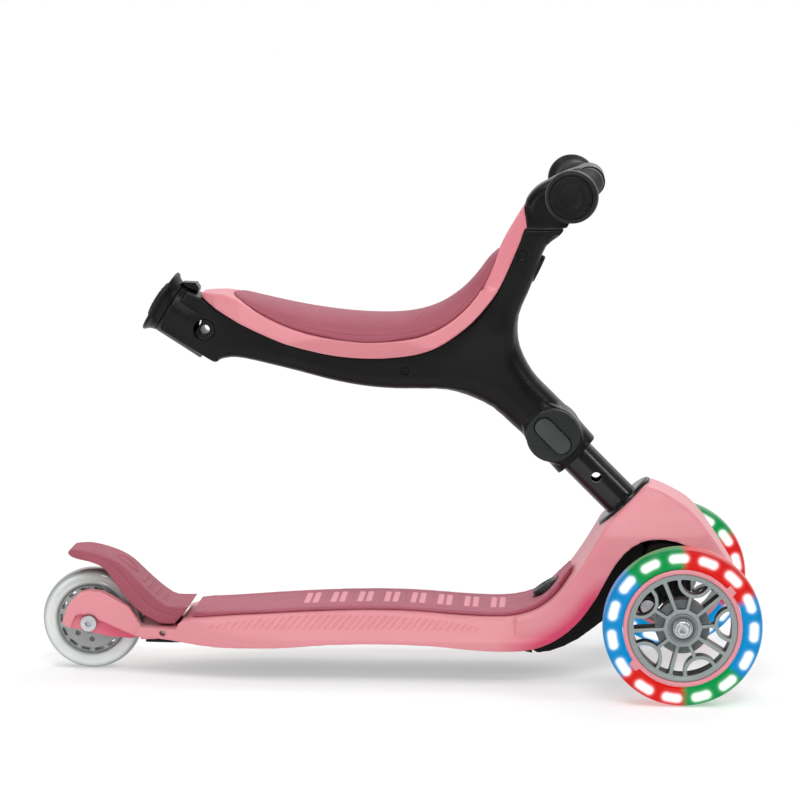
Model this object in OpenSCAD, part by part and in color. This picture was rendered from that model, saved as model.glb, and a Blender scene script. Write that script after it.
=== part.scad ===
// Three-wheel lean-to-steer kick scooter with a ride-on seat frame.
// Frame: +X forward, +Y to the rider's left, +Z up, origin on the floor
// under the middle of the wheelbase box. Millimetres.

/* [Wheels] */
// Radius of each front wheel
front_r = 60; // [59:0.5:60]
// Radius of the rear wheel
rear_r = 40; // [39:0.5:40]
// Width of every tyre
tyre_w = 24; // [22:0.5:24]
// Distance from the centre plane to the middle of a front wheel
half_track = 112; // [112:1:116]

/* [Stem] */
// Outside radius of the stem tube
stem_r = 14.3; // [14.2:0.05:14.3]
// Wall of the stem tube
stem_wall = 2; // [1.5:0.1:2.5]
// Distance between the two height stops, measured along the stem
height_step = 48; // [46:1:48]

/* [Handlebar] */
// Radius of the round flange at each grip's end
flange_r = 19.5; // [18:0.5:20]
// Radius of each grip
grip_r = 11.5; // [11:0.5:12.5]

/* [Deck] */
// Half of the deck's width at its lower edge
deck_half = 56; // [54:1:57]
// Wall of the deck moulding
deck_wall = 3; // [2.5:0.5:3.5]

/* [Hidden] */
$fn = 48;

fx = 221.5;            // front axle
fz = front_r;
rx = -241.5;           // rear axle
rz = rear_r;

pink = [0.91, 0.63, 0.66];
mauve = [0.69, 0.38, 0.45];
black = [0.10, 0.11, 0.11];
grey = [0.54, 0.56, 0.57];
steel = [0.78, 0.79, 0.80];
clear = [0.84, 0.86, 0.85];

// ---- helpers -------------------------------------------------------------

// Draws a side view (X across, Z up) as a plate from y0 to y1.
module side(y0, y1) translate([0, y1, 0]) rotate([90, 0, 0]) linear_extrude(y1 - y0) children();

// Point at distance s along the stem's centre line, from the collar upward.
function stem(s) = [177.5 - 0.70711 * s, 0, 137 + 0.70711 * s];

// Puts children with their Z along the stem, starting at distance s.
module on_stem(s) translate(stem(s)) rotate([0, -45, 0]) children();

// Kingpin line, inclined forward and up at 45 degrees.
function king(w) = [215 + 0.70711 * w, 0, 73 + 0.70711 * w];
module on_king(w) translate(king(w)) rotate([0, 45, 0]) children();

// Puts children with their Z along the line from p to q, starting at p.
module from_to(p, q) {
  d = q - p;
  translate(p) rotate([0, acos(d[2] / norm(d)), atan2(d[1], d[0])]) children();
}

// A cylinder along Y from y0 to y1.
module ycyl(x, z, r, y0, y1) translate([x, y1, z]) rotate([90, 0, 0]) cylinder(r = r, h = y1 - y0);

// A smooth closed-form curve through hand-chosen points, n steps a span.
function crv(p, i, t) = let (a = p[max(i - 1, 0)], b = p[i], c = p[i + 1], d = p[min(i + 2, len(p) - 1)])
  0.5 * (2 * b + (c - a) * t + (2 * a - 5 * b + 4 * c - d) * t * t + (3 * b - a - 3 * c + d) * t * t * t);
function smooth(p, n) = concat([for (i = [0 : len(p) - 2]) for (k = [0 : n - 1]) crv(p, i, k / n)], [p[len(p) - 1]]);
function rev(p) = [for (i = [len(p) - 1 : -1 : 0]) p[i]];
function drop(p, dx, dz) = [for (q = p) [q[0] + dx, q[1] + dz]];
// A symmetrical outline about the X axis from a half outline.
function both(p) = concat(p, [for (i = [len(p) - 1 : -1 : 0]) [p[i][0], -p[i][1]]]);

// ---- deck ----------------------------------------------------------------

// Upper edge of the deck's side wall, from the rear to the neck.
deck_top = [[-196, 45], [-178, 42], [-160, 46], [-130, 49], [-95, 51.5], [-55, 54], [-15, 55.5],
            [20, 54.5], [50, 52], [75, 51], [95, 52], [112, 57], [125, 66], [136, 79], [146, 93], [155, 108], [162, 121]];
// Lower edge of the deck, from the rear to the arch behind the wheels.
deck_bottom = [[-206, 31], [-175, 29], [-140, 26], [-90, 27], [-50, 30], [-10, 31], [30, 30], [65, 27],
               [95, 26.5], [115, 30], [132, 39], [146, 52], [158, 69]];
// Arch over the front axle, from the neck to the nose.
arch = [[158, 69], [166, 84], [174, 97], [185, 108], [200, 114], [220, 112], [238, 104], [252, 94], [262, 85]];
// Front of the hood, from the collar to the nose.
hood_front = [[196, 153], [206, 150], [218, 144], [230, 136], [240, 125], [250, 111], [259, 97], [266, 86]];
deck_plan = [[-210, 30], [-190, 34], [-165, 42], [-135, 50], [-95, 55], [-40, 56], [40, 56], [100, 55], [140, 52], [170, 50], [230, 48]];

// Rear fork arm, seen from the side.
arm_side = [[-263, 40], [-260, 50], [-255, 58], [-249, 64], [-241, 66], [-230, 64.5], [-220, 59], [-208, 52],
            [-196, 45.5], [-184, 42], [-170, 42], [-170, 30], [-206, 27.5], [-228, 29], [-245, 33], [-258, 36]];

module deck_outer(top, bottom) polygon(concat(smooth(top, 3), smooth(hood_front, 2), rev(smooth(arch, 2)), rev(smooth(bottom, 3))));

// Half width of the deck moulding against height, as a front view.
module deck_section(t) {
  w = deck_half - t;
  translate([-215, 0, 0]) rotate([90, 0, 90]) linear_extrude(345)
    polygon([[-w, 20], [w, 20], [w - 1, 34], [w - 12, 48], [w - 17, 56 - t], [w - 18, 100], [-w + 18, 100], [-w + 17, 56 - t], [-w + 12, 48], [-w + 1, 34]]);
}
module neck_section(t) {
  translate([95, 0, 0]) rotate([90, 0, 90]) linear_extrude(180)
    polygon([[-53 + t, 20], [53 - t, 20], [52 - t, 60], [49 - t, 100], [46 - t, 116], [38 - t, 132], [28 - t, 146], [24 - t, 158],
             [-24 + t, 158], [-28 + t, 146], [-38 + t, 132], [-46 + t, 116], [-49 + t, 100], [-52 + t, 60]]);
}
module deck_plan_block(t) translate([0, 0, 10]) linear_extrude(160)
  polygon(both(concat([[-210, 24]], drop(smooth(deck_plan, 2), 0, -t), [[248, 44 - t], [268 - t, 22], [270 - t, 8]])));

module deck_shell() color(pink) {
  difference() {
    union() {
      intersection() {
        side(-60, 60) deck_outer(deck_top, deck_bottom);
        deck_plan_block(0);
        union() { deck_section(0); neck_section(0); }
      }
      // fork arms
      for (m = [0, 1]) mirror([0, m, 0]) {
        side(16, 28) polygon(arm_side);
        side(16, 32) polygon([[-200, 46], [-184, 42], [-168, 43], [-168, 30], [-200, 28]]);
      }
    }
    // hollow underneath
    intersection() {
      side(-60, 60) polygon([[-150, 15], [-150, 44], [-130, 45.5], [-95, 48], [-55, 50.5], [-15, 52], [20, 51], [50, 48.5],
        [75, 47.5], [95, 48.5], [112, 52.8], [127.5, 62.8], [139.4, 76.6], [149.6, 91], [158.8, 106.4], [167, 118.5], [186, 135], [202, 137], [216, 134], [228, 126], [240, 114],
        [252, 98], [262, 80], [262, 60], [180, 15]]);
      deck_plan_block(deck_wall + 1);
      union() { deck_section(deck_wall + 1); neck_section(deck_wall + 1); }
    }
    // recess on the outer face of each arm, round the axle
    for (m = [-1, 1]) side(m * 28 - 3, m * 28 + 3)
      polygon([[-256, 37], [-252, 46], [-246, 46], [-230, 41], [-212, 33], [-200, 27], [-212, 24], [-250, 30]]);
    // space for the rear wheel and the fender's skirts
    side(-15.5, 15.5) polygon([[-280, 0], [-280, 100], [-225, 100], [-196, 60], [-192, 46], [-192, 0]]);
    // seat for the stem
    on_stem(-60) cylinder(r = stem_r + 2.5, h = 90);
    // step where the fender starts
    side(-40, 40) polygon([[-215, 62], [-200, 38], [-171.4, 38], [-159.4, 55], [-159.4, 62]]);
    // room for the chassis, the collar, the stem socket and the brake's hub
    deck_base_body();
    on_stem(-2.7) cylinder(r = 22.8, h = 12);
    on_stem(-56) cylinder(r = stem_r + 5.55, h = 54);
    side(-15.2, 15.2) polygon([[-194, 20], [-194, 50], [-172, 50], [-172, 20]]);
    // bores
    ycyl(rx, rz, 4.05, -40, 40);
    for (m = [-1, 1]) ycyl(rx, rz, 7.2, m * 29 - 4, m * 29 + 4);
    ycyl(-182, 34, 2.52, -45, 45);
    for (x = [-120, 90]) for (y = [-30, 30]) translate([x, y, 20]) cylinder(r = 1.8, h = 29.3);
    translate([121.5, 0, 63]) rotate([0, -32, 0]) translate([0, 0, -20]) cylinder(r = 13.2, h = 40);
  }
}

// Black chassis: floor under the deck, sweeping up under the neck.
module deck_base_body() {
    intersection() {
      side(-50, 50) polygon(concat([[-149, 27.4], [-149, 42]],
        drop([[-130, 46.2], [-95, 48.7], [-55, 51.2], [-15, 52.7], [20, 51.7], [50, 49.2], [75, 48.2], [95, 49], [108, 53]], 0, -1.5),
        [[108, 24], [95, 27.2], [65, 27.8], [30, 30.6], [-10, 31.6], [-50, 30.6], [-90, 27.6], [-140, 27]]));
      deck_plan_block(deck_wall + 4.5);
      union() { deck_section(deck_wall + 2.5); }
    }
    // brace below the neck
    side(-24, 24) polygon([[104, 24], [112, 19.5], [122, 21], [133, 25], [144, 31], [156, 40], [166, 48], [181, 62], [190, 78], [194, 98],
      [196, 118], [184, 124], [170, 122], [160, 108], [151, 94], [142, 80], [132, 67], [120, 57], [104, 48]]);
    // liner under the hood, above the axle carrier's swing
    side(-38, 38) polygon([[194, 98], [198, 108], [206, 111], [220, 109.5], [238, 101.5], [249, 92.5], [248, 88], [243, 92], [234, 97], [220, 103], [208, 104], [200, 96]]);
    // strip under the fork
    side(-30, 30) polygon([[-206, 26.2], [-206, 29], [-176, 30.5], [-149, 30], [-145, 26.8], [-176, 25.4]]);
}
module deck_base() color(black) difference() {
  deck_base_body();
  pivot_bracket_body();
  ycyl(-182, 34, 6.2, -15.2, 15.2);
  // ribs left between pockets in the floor
  for (i = [-5 : 3]) translate([i * 25 + 12, 0, 20]) translate([-9.5, -20, 0]) cube([19, 40, 22]);
  on_stem(-56) cylinder(r = 20.3, h = 70);
  // room for the lock button and its plunger
  translate([121.5, 0, 63]) rotate([0, -32, 0]) translate([0, 0, -22]) cylinder(r = 14, h = 40);
  ycyl(-182, 34, 3.5, -45, 45);
  side(-40, 40) polygon([[-300, 20], [-300, 60], [-204, 60], [-196, 46], [-196, 20]]);
  // room for the axle carrier's swing
  on_king(-30) cylinder(r = 19, h = 60);
  on_king(24) cylinder(r = 9.8, h = 40);
  ycyl(stem(-34)[0], stem(-34)[2], 6, -30, 30);
  for (x = [-120, 90]) for (y = [-30, 30]) translate([x, y, 10]) {
    cylinder(r = 1.8, h = 60);
    cylinder(r = 3.6, h = 18.3);
  }
}

module deck_mat() color(mauve) difference() {
  intersection() {
    side(-40, 40) polygon(concat(
      smooth([[-159, 46.4], [-130, 49.4], [-95, 52], [-55, 54.4], [-15, 55.9], [20, 54.9], [50, 52.4], [75, 51.4], [95, 52.4], [112, 57.4], [124.5, 66.4], [135, 79], [139, 85]], 2),
      rev(smooth([[-158, 51.5], [-130, 52.6], [-95, 55], [-55, 57.4], [-15, 58.5], [20, 57.6], [50, 55.6], [75, 54.6], [93, 55.6], [109, 60.4], [121, 68.6], [132, 81], [137, 87]], 2))));
    translate([0, 0, 40]) linear_extrude(60) polygon(both([[-159, 30], [-150, 34], [-100, 37], [0, 38], [90, 37], [110, 34], [128, 26], [138, 14]]));
  }
  // grooves across the standing area
  for (i = [0 : 10]) translate([-140 + i * 21, 0, 0]) difference() {
    translate([-0.8, -26, 50]) cube([1.6, 52, 12]);
    translate([-5, -30, 49]) cube([10, 60, 1]);
  }
  translate([121.5, 0, 63]) rotate([0, -32, 0]) translate([0, 0, -22]) cylinder(r = 13.2, h = 60);
}

// ---- front pivot ---------------------------------------------------------

module pivot_bracket_body() {
    on_king(-29) cylinder(r = 9, h = 13);
    on_king(18.2) cylinder(r = 9, h = 8);
    // spine joining the two lugs behind and above the carrier
    side(-9, 9) polygon([[191, 52], [182, 62], [190, 80], [196, 99], [203.4, 104.3], [215.5, 106], [230, 103], [238, 92.6],
      [226.8, 80.6], [219, 88], [213, 94], [200.6, 83], [194, 72.5], [204.2, 62.5], [199, 50]]);
    ycyl(198, 56, 8, -19, 19);
}
module pivot_bracket() color(black) difference() {
  pivot_bracket_body();
  on_king(-20) cylinder(r = 4.03, h = 60);
  on_king(-15.9) cylinder(r = 13, h = 34);
  on_king(26.2) cylinder(r = 30, h = 30);
  on_stem(-56) cylinder(r = 20.2, h = 70);
  ycyl(198, 56, 3.05, -30, 30);
  for (m = [-1, 1]) ycyl(198, 56, 6, m * 19 - 3, m * 19 + 3);
}

module kingpin() color(steel) union() {
  on_king(-19.5) cylinder(r = 4, h = 47.2);
  difference() {
    on_king(27.6) cylinder(r = 6.5, h = 4.4);
    on_king(29.4) cylinder(r = 3.2, h = 6, $fn = 6);
  }
}
// Washer under the kingpin's head.
module kingpin_washer() color(steel) on_king(26.2) difference() {
  cylinder(r = 8, h = 1.4);
  translate([0, 0, -1]) cylinder(r = 4.03, h = 4);
}

module pivot_cross_bolt() color(steel) union() {
  ycyl(198, 56, 3, -17, 17);
  for (m = [-1, 1]) ycyl(198, 56, 5.5, m * 18 - 1.6, m * 18 + 1.6);
}

// Two elastomer rings round the kingpin that centre the steering.
module steering_bushings() color([0.2, 0.2, 0.2]) {
  for (w = [-15.8, 14.6]) on_king(w) difference() {
    cylinder(r = 8.5, h = 3.4);
    translate([0, 0, -1]) cylinder(r = 4.05, h = 6);
  }
}

// Axle carrier: a boss on the kingpin and a beam out to each wheel.
module truck_beam() color(black) difference() {
  union() {
    on_king(-12) cylinder(r = 10.5, h = 26.2);
    intersection() {
      ycyl(fx, fz, 10.5, -94, 94);
      translate([fx - 20, -94, fz - 9]) cube([40, 188, 30]);
    }
    side(-16, 16) polygon([[206, 71], [214, 57], [229, 57], [232, 66], [231.5, 78], [222, 84]]);
    for (m = [-1, 1]) ycyl(fx, fz, 12, m * 88 - 6, m * 88 + 6);
    // webs from the boss to the beam's ends
    for (m = [0, 1]) mirror([0, m, 0]) translate([0, 0, 0]) intersection() {
      side(10, 82) polygon([[214, 60], [217, 78], [226, 78], [229, 60]]);
      translate([200, 0, 0]) rotate([90, 0, 90]) linear_extrude(40) polygon([[10, 50], [10, 79], [30, 77], [82, 64], [82, 50]]);
    }
  }
  on_king(-40) cylinder(r = 4.05, h = 80);
  on_king(-40) cylinder(r = 9.6, h = 28);
  on_king(14.3) cylinder(r = 24, h = 30);
  for (m = [-1, 1]) ycyl(fx, fz, 4.02, m * 82 - 20, m * 82 + 20);
}

module axle_bolt(m) color(steel) {
  ycyl(fx, fz, 4, min(m * 66, m * 126), max(m * 66, m * 126));
  difference() {
    ycyl(fx, fz, 7, min(m * 125.2, m * 130), max(m * 125.2, m * 130));
    rotate([0, 0, 0]) translate([fx, m * 130, fz]) rotate([90, 30, 0]) translate([0, 0, -2.6]) cylinder(r = 3.4, h = 5.2, $fn = 6);
  }
  difference() {
    ycyl(fx, fz, 6.4, min(m * 95.2, m * 99.4), max(m * 95.2, m * 99.4));
    ycyl(fx, fz, 4.02, min(m * 90, m * 104), max(m * 90, m * 104));
  }
}
module left_axle_bolt() axle_bolt(1);
module right_axle_bolt() axle_bolt(-1);

// ---- front wheels --------------------------------------------------------

// Turns a wheel section (radius across, width up) about a Y axis at x, z.
module wheel_at(x, y, z) translate([x, y, z]) rotate([90, 0, 0]) children();

module tyre_ring(r, w, ri) rotate_extrude($fn = 96) polygon(concat(
  [[ri, -w / 2 + 3], [ri, w / 2 - 3], [ri + 2.5, w / 2]],
  [for (i = [0 : 9]) let (a = 64 - i * 128 / 9) [r - 12 + 12 * cos(a), (w / 2) * sin(a) / sin(64)]],
  [[ri + 2.5, -w / 2]]));

module front_tyre(m) color(clear) difference() {
  wheel_at(fx, m * half_track, fz) tyre_ring(front_r, tyre_w, 45);
  wheel_at(fx, m * half_track, fz) rotate_extrude($fn = 96) translate([47, -5.2]) square([8, 10.4]);
  wheel_at(fx, m * half_track, fz) ring_tabs(m, 0.1);
}
// Two locking tabs on the outer face of the snap ring.
module ring_tabs(m, g) for (a = [52, 232]) rotate([0, 0, a])
  translate([40, -6 - g, m * -9.4 - 1.2 - g]) cube([7.2 + g, 12 + 2 * g, 2.4 + 2 * g]);
module left_tyre() front_tyre(1);
module right_tyre() front_tyre(-1);

// Lamp strip inside the tyre with its row of lamps.
module light_ring(m) color([0.95, 0.97, 1]) wheel_at(fx, m * half_track, fz) union() {
  rotate_extrude($fn = 96) translate([47.3, -4.6]) square([2.4, 9.2]);
  for (i = [0 : 14]) rotate([0, 0, i * 24 + 90]) translate([51, 0, 0]) rotate([90, 0, 0])
    translate([0, 0, -5]) cylinder(r = 2.4, h = 10);
}
module left_light_ring() light_ring(1);
module right_light_ring() light_ring(-1);

module snap_ring(m) color(pink) wheel_at(fx, m * half_track, fz) difference() {
  union() {
    for (s = [-1, 1]) translate([0, 0, s * 10.6 - 1.2]) cylinder(r = 44.4, h = 2.4, $fn = 96);
    cylinder(r = 44.6, h = 19, center = true, $fn = 96);
    ring_tabs(m, 0);
  }
  cylinder(r = 41.2, h = 40, center = true, $fn = 96);
}
module left_snap_ring() snap_ring(1);
module right_snap_ring() snap_ring(-1);

// Spoked hub: rim, five pairs of bars, five Y spokes with petal arcs, barrel.
module front_hub(m) color(grey) wheel_at(fx, m * half_track, fz) difference() {
  union() {
    difference() {
      cylinder(r = 41.1, h = 20, center = true, $fn = 96);
      cylinder(r = 36.6, h = 30, center = true, $fn = 96);
    }
    difference() {
      cylinder(r = 20, h = 17, center = true);
      translate([0, 0, m * -8.5]) difference() { cylinder(r = 18, h = 6, center = true); cylinder(r = 14, h = 8, center = true); }
    }
    cylinder(r = 13, h = 22, center = true);
    for (i = [0 : 4]) rotate([0, 0, 36 + i * 72]) {
      for (y = [-4.2, 2.2]) translate([12, y, -6]) cube([26, 2, 12]);
      rotate([0, 0, 36]) {
        translate([12, -1.2, -6]) cube([10, 2.4, 12]);
        intersection() {
          translate([34, 0, 0]) difference() {
            cylinder(r = 12.5, h = 12, center = true);
            cylinder(r = 10.3, h = 14, center = true);
          }
          cylinder(r = 38, h = 14, center = true);
        }
      }
    }
  }
  cylinder(r = 11.02, h = 60, center = true);
}
module left_hub() front_hub(1);
module right_hub() front_hub(-1);

// Two ball bearings and the sleeve between them.
module bearing_set(x, y, z, bore, ro, half) color(steel) wheel_at(x, y, z) difference() {
  union() {
    for (s = [-1, 1]) translate([0, 0, s * (half - 3.5)]) difference() {
      cylinder(r = ro, h = 7, center = true);
      for (e = [-1, 1]) translate([0, 0, e * 3.5]) difference() {
        cylinder(r = ro - 1.6, h = 0.8, center = true);
        cylinder(r = bore + 2.2, h = 2, center = true);
      }
    }
    cylinder(r = bore + 1.8, h = 2 * half - 12, center = true);
  }
  cylinder(r = bore, h = 80, center = true);
}
// Ring of magnets inside the hub, between the bearings.
module generator_ring(m) color([0.35, 0.33, 0.32]) wheel_at(fx, m * half_track, fz) difference() {
  cylinder(r = 11, h = 8, center = true);
  cylinder(r = 7.4, h = 10, center = true);
}
module left_generator_ring() generator_ring(1);
module right_generator_ring() generator_ring(-1);
module left_bearings() bearing_set(fx, half_track, fz, 4.05, 11, 11.5);
module right_bearings() bearing_set(fx, -half_track, fz, 4.05, 11, 11.5);

// ---- rear wheel ----------------------------------------------------------

module rear_tyre() color(clear) wheel_at(rx, 0, rz) tyre_ring(rear_r, tyre_w, 27);

module rear_hub() color(grey) wheel_at(rx, 0, rz) difference() {
  union() {
    cylinder(r = 26.9, h = 18, center = true, $fn = 96);
    cylinder(r = 23, h = 20, center = true, $fn = 96);
  }
  for (i = [0 : 13]) rotate([0, 0, i * 360 / 14]) translate([24.6, 0, 0]) cube([2, 7, 40], center = true);
  for (i = [0 : 7]) rotate([0, 0, i * 45]) translate([16, 0, 0]) cylinder(r = 2, h = 40, center = true);
  cylinder(r = 11.02, h = 60, center = true);
}
module rear_bearings() bearing_set(rx, 0, rz, 4.05, 11, 11.5);

module rear_axle_bolt() color(steel) union() {
  ycyl(rx, rz, 4, -26, 31);
  difference() {
    ycyl(rx, rz, 6.2, -29.8, -25.2);
    translate([rx, -30, rz]) rotate([90, 0, 0]) translate([0, 0, -3]) cylinder(r = 3, h = 6, $fn = 6);
  }
  for (m = [-1, 1]) difference() {
    ycyl(rx, rz, 6, m * 13.6 - 1.6, m * 13.6 + 1.6);
    ycyl(rx, rz, 3.9, m * 13.6 - 5, m * 13.6 + 5);
  }
}
module rear_axle_nut() color(steel) difference() {
  ycyl(rx, rz, 6.6, 25.2, 29.8);
  ycyl(rx, rz, 4.02, 20, 40);
}

// ---- brake ---------------------------------------------------------------

fender_top = [[-258, 96.5], [-250, 97], [-242, 96], [-234, 94], [-225, 91], [-217, 87], [-210, 81.5], [-204, 75.5], [-198, 69.5],
              [-191, 63], [-184, 57.5], [-177, 54], [-162, 54]];
fender_low = [[-260, 93.5], [-256, 91], [-250, 89.5], [-243, 88.5], [-234, 85.5], [-228, 81], [-222, 73], [-216, 65], [-209, 56], [-201, 49], [-192, 44], [-184, 40.5], [-173, 40.5]];

module brake_fender() color(mauve) difference() {
  union() {
    intersection() {
      side(-30, 30) polygon(concat(smooth(fender_top, 2), rev(smooth(fender_low, 2))));
      translate([0, 0, 30]) linear_extrude(80) polygon(both([[-262, 8], [-258, 17], [-245, 22], [-220, 23], [-200, 26], [-180, 29], [-160, 29]]));
    }
    // ribs across the top
    for (p = [[-238, 95], [-230, 92.4], [-196, 67.8], [-190, 62.4], [-184.5, 58]]) ycyl(p[0], p[1] - 1, 1.6, -14, 14);
    ycyl(-182, 34, 5, -14.5, 14.5);
    side(-14.5, 14.5) polygon([[-188, 42], [-186.4, 34], [-177.6, 34], [-175, 42]]);
  }
  // room for the tyre below the plate
  wheel_at(rx, 0, rz) cylinder(r = 45, h = 27, center = true, $fn = 96);
  // bore for the pin and room for the spring
  ycyl(-182, 34, 2.56, -40, 40);
  ycyl(-182, 34, 5.6, -6, 6);
  for (m = [-1, 1]) side(m * 23 - 8.3, m * 23 + 8.3) polygon([[-220, 20], [-260, 20], [-260, 60], [-214, 56], [-204, 50], [-190, 42.4], [-184, 40.4], [-165, 40.4], [-165, 20]]);
}
module brake_pad() color(steel) intersection() {
  wheel_at(rx, 0, rz) difference() {
    cylinder(r = 44.95, h = 18, center = true, $fn = 96);
    cylinder(r = 43.5, h = 20, center = true, $fn = 96);
  }
  side(-20, 20) polygon([[-241.5, 40], [-205, 86], [-182, 60]]);
}
// A coil of round wire as a swept tube: mean radius r, wire radius w, n turns, length h, along Z.
module coil(r, w, n, h) {
  steps = n * 18;
  rings = [for (i = [0 : steps]) let (a = i * 20, z = w + (h - 2 * w) * i / steps)
    [for (k = [0 : 7]) let (b = k * 45) [(r + w * cos(b)) * cos(a), (r + w * cos(b)) * sin(a), z + w * sin(b)]]];
  pts = [for (g = rings) for (q = g) q];
  polyhedron(pts, concat(
    [[for (k = [0 : 7]) k]],
    [for (i = [0 : steps - 1]) for (k = [0 : 7]) let (a = i * 8 + k, b = i * 8 + (k + 1) % 8) each [[a, a + 8, b], [b, a + 8, b + 8]]],
    [[for (k = [7 : -1 : 0]) steps * 8 + k]]));
}
module brake_spring() color(steel) translate([-182, 5, 34]) rotate([90, 0, 0]) coil(3.6, 0.5, 6, 10);

module brake_pin() color(steel) ycyl(-182, 34, 2.5, -29, 29);

// ---- stem and head -------------------------------------------------------

module stem_tube() color(black) difference() {
  on_stem(-50) cylinder(r = stem_r, h = 162);
  on_stem(-51) cylinder(r = stem_r - stem_wall, h = 164);
  for (s = [29, 29 + height_step]) ycyl(stem(s)[0], stem(s)[2], 4, -30, 30);
  ycyl(stem(-34)[0], stem(-34)[2], 3.03, -30, 30);
}
// Socket moulded in the neck that the tube is bolted into.
module stem_socket() color(black) difference() {
  on_stem(-54) cylinder(r = stem_r + 5.5, h = 46);
  on_stem(-51) cylinder(r = stem_r + 0.05, h = 60);
  ycyl(stem(-34)[0], stem(-34)[2], 3.03, -30, 30);
  for (m = [-1, 1]) ycyl(stem(-34)[0], stem(-34)[2], 5.8, m * 20.5 - 3, m * 20.5 + 3);
}
module stem_bolt() color(steel) union() {
  ycyl(stem(-34)[0], stem(-34)[2], 3, -19.6, 19.6);
  for (m = [-1, 1]) ycyl(stem(-34)[0], stem(-34)[2], 5, m * 19 - 1.2, m * 19 + 1.2);
}
module head_collar() color(black) difference() {
  union() {
    on_stem(-6) cylinder(r = stem_r + 2.4, h = 4);
    on_stem(-2) rotate_extrude() polygon([[14, 0], [20.5, -0.6], [22.6, 0.6], [22.6, 2], [20.4, 3.2], [16, 3.4], [14, 3]]);
  }
  on_stem(-20) cylinder(r = stem_r + 0.05, h = 60);
}
module lock_bezel() color(black) translate([121.5, 0, 63]) rotate([0, -32, 0]) difference() {
  translate([0, 0, -8]) cylinder(r = 13, h = 9.5);
  translate([0, 0, -9]) cylinder(r = 11.6, h = 12);
}
module deck_screws() color(steel) {
  for (x = [-120, 90]) for (y = [-30, 30]) translate([x, y, 0]) {
    translate([0, 0, 28]) cylinder(r = 1.75, h = 21);
    translate([0, 0, 26.4]) cylinder(r = 3.4, h = 1.8);
  }
}

// ---- moving buttons ------------------------------------------------------

module steering_lock_button() color([0.2, 0.21, 0.21]) translate([121.5, 0, 63]) rotate([0, -32, 0]) union() {
  translate([0, 0, -7]) cylinder(r = 4, h = 8);
  translate([0, 0, 0]) cylinder(r = 11.3, h = 3.4);
  translate([0, 0, 3.4]) rotate_extrude() polygon([[0, 0], [10.6, 0], [10.2, 0.8], [8.6, 0.8], [8.2, 0.4], [6.2, 0.4], [5.8, 0.8], [0, 1]]);
}

// Frame of the hub: Z along the stem, X across it, origin on the lock pin.
module at_hub() on_stem(77) children();

module height_lock_button() color([0.24, 0.26, 0.26]) at_hub() {
  translate([0, -20.8, 0]) rotate([90, 0, 0]) linear_extrude(8.4) {
    translate([-7, -9.5]) square([14, 19]);
    for (e = [-1, 1]) translate([0, e * 9.5]) circle(r = 7);
  }
}
// Yoke that carries the button's push round the tube to the pin.
module height_lock_yoke() color(steel) at_hub() union() {
  translate([-18.6, -20.6, -5]) cube([37.2, 1.8, 10]);
  for (m = [-1, 1]) translate([m * 17.8 - 0.8, -19, -5]) cube([1.6, 38, 10]);
  translate([-18.6, 17.2, -5]) cube([37.2, 1.8, 10]);
  translate([0, 18, 0]) rotate([90, 0, 0]) cylinder(r = 3.9, h = 3.3);
}
// Spring that returns the yoke.
module height_lock_spring() color(steel) at_hub() translate([0, 25.3, 0]) rotate([90, 0, 0]) coil(5.6, 0.55, 4, 6.2);
// Round button on the front of the handlebar arm.
btn = [108.9, 0, 320.4];
module handlebar_button() color(black) translate(btn) rotate([0, 116, 0]) union() {
  translate([0, 0, -8]) cylinder(r = 5, h = 9);
  cylinder(r = 11.2, h = 3.2);
}

// ---- ride frame ----------------------------------------------------------

core_low = [[-184, 272], [-162, 258.5], [-143, 246], [-138, 248], [-129, 250], [-118, 249], [-100, 245], [-75, 239], [-50, 232.5], [-25, 228],
            [0, 226], [30, 226], [48, 223], [62, 218], [76, 211], [90, 198.5], [104, 186]];
core_front = [[119, 226], [110, 235], [103, 245], [97, 258], [95, 270], [96, 284], [101, 297], [106, 309], [112, 326], [117, 338], [126, 345], [131, 351]];
core_rider = [[100, 351], [97, 342], [92, 330], [86, 316], [79, 302], [70, 290], [60, 279], [48, 269.5], [35, 261.5], [18, 255], [0, 252], [-20, 251], [-45, 253],
              [-70, 259], [-95, 267.5], [-120, 278], [-140, 288.5], [-152, 297], [-163, 302]];

module socket_at(d) translate([-186.5, 0, 294]) rotate([0, 122.5, 0]) translate([0, 0, d]) children();

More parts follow.
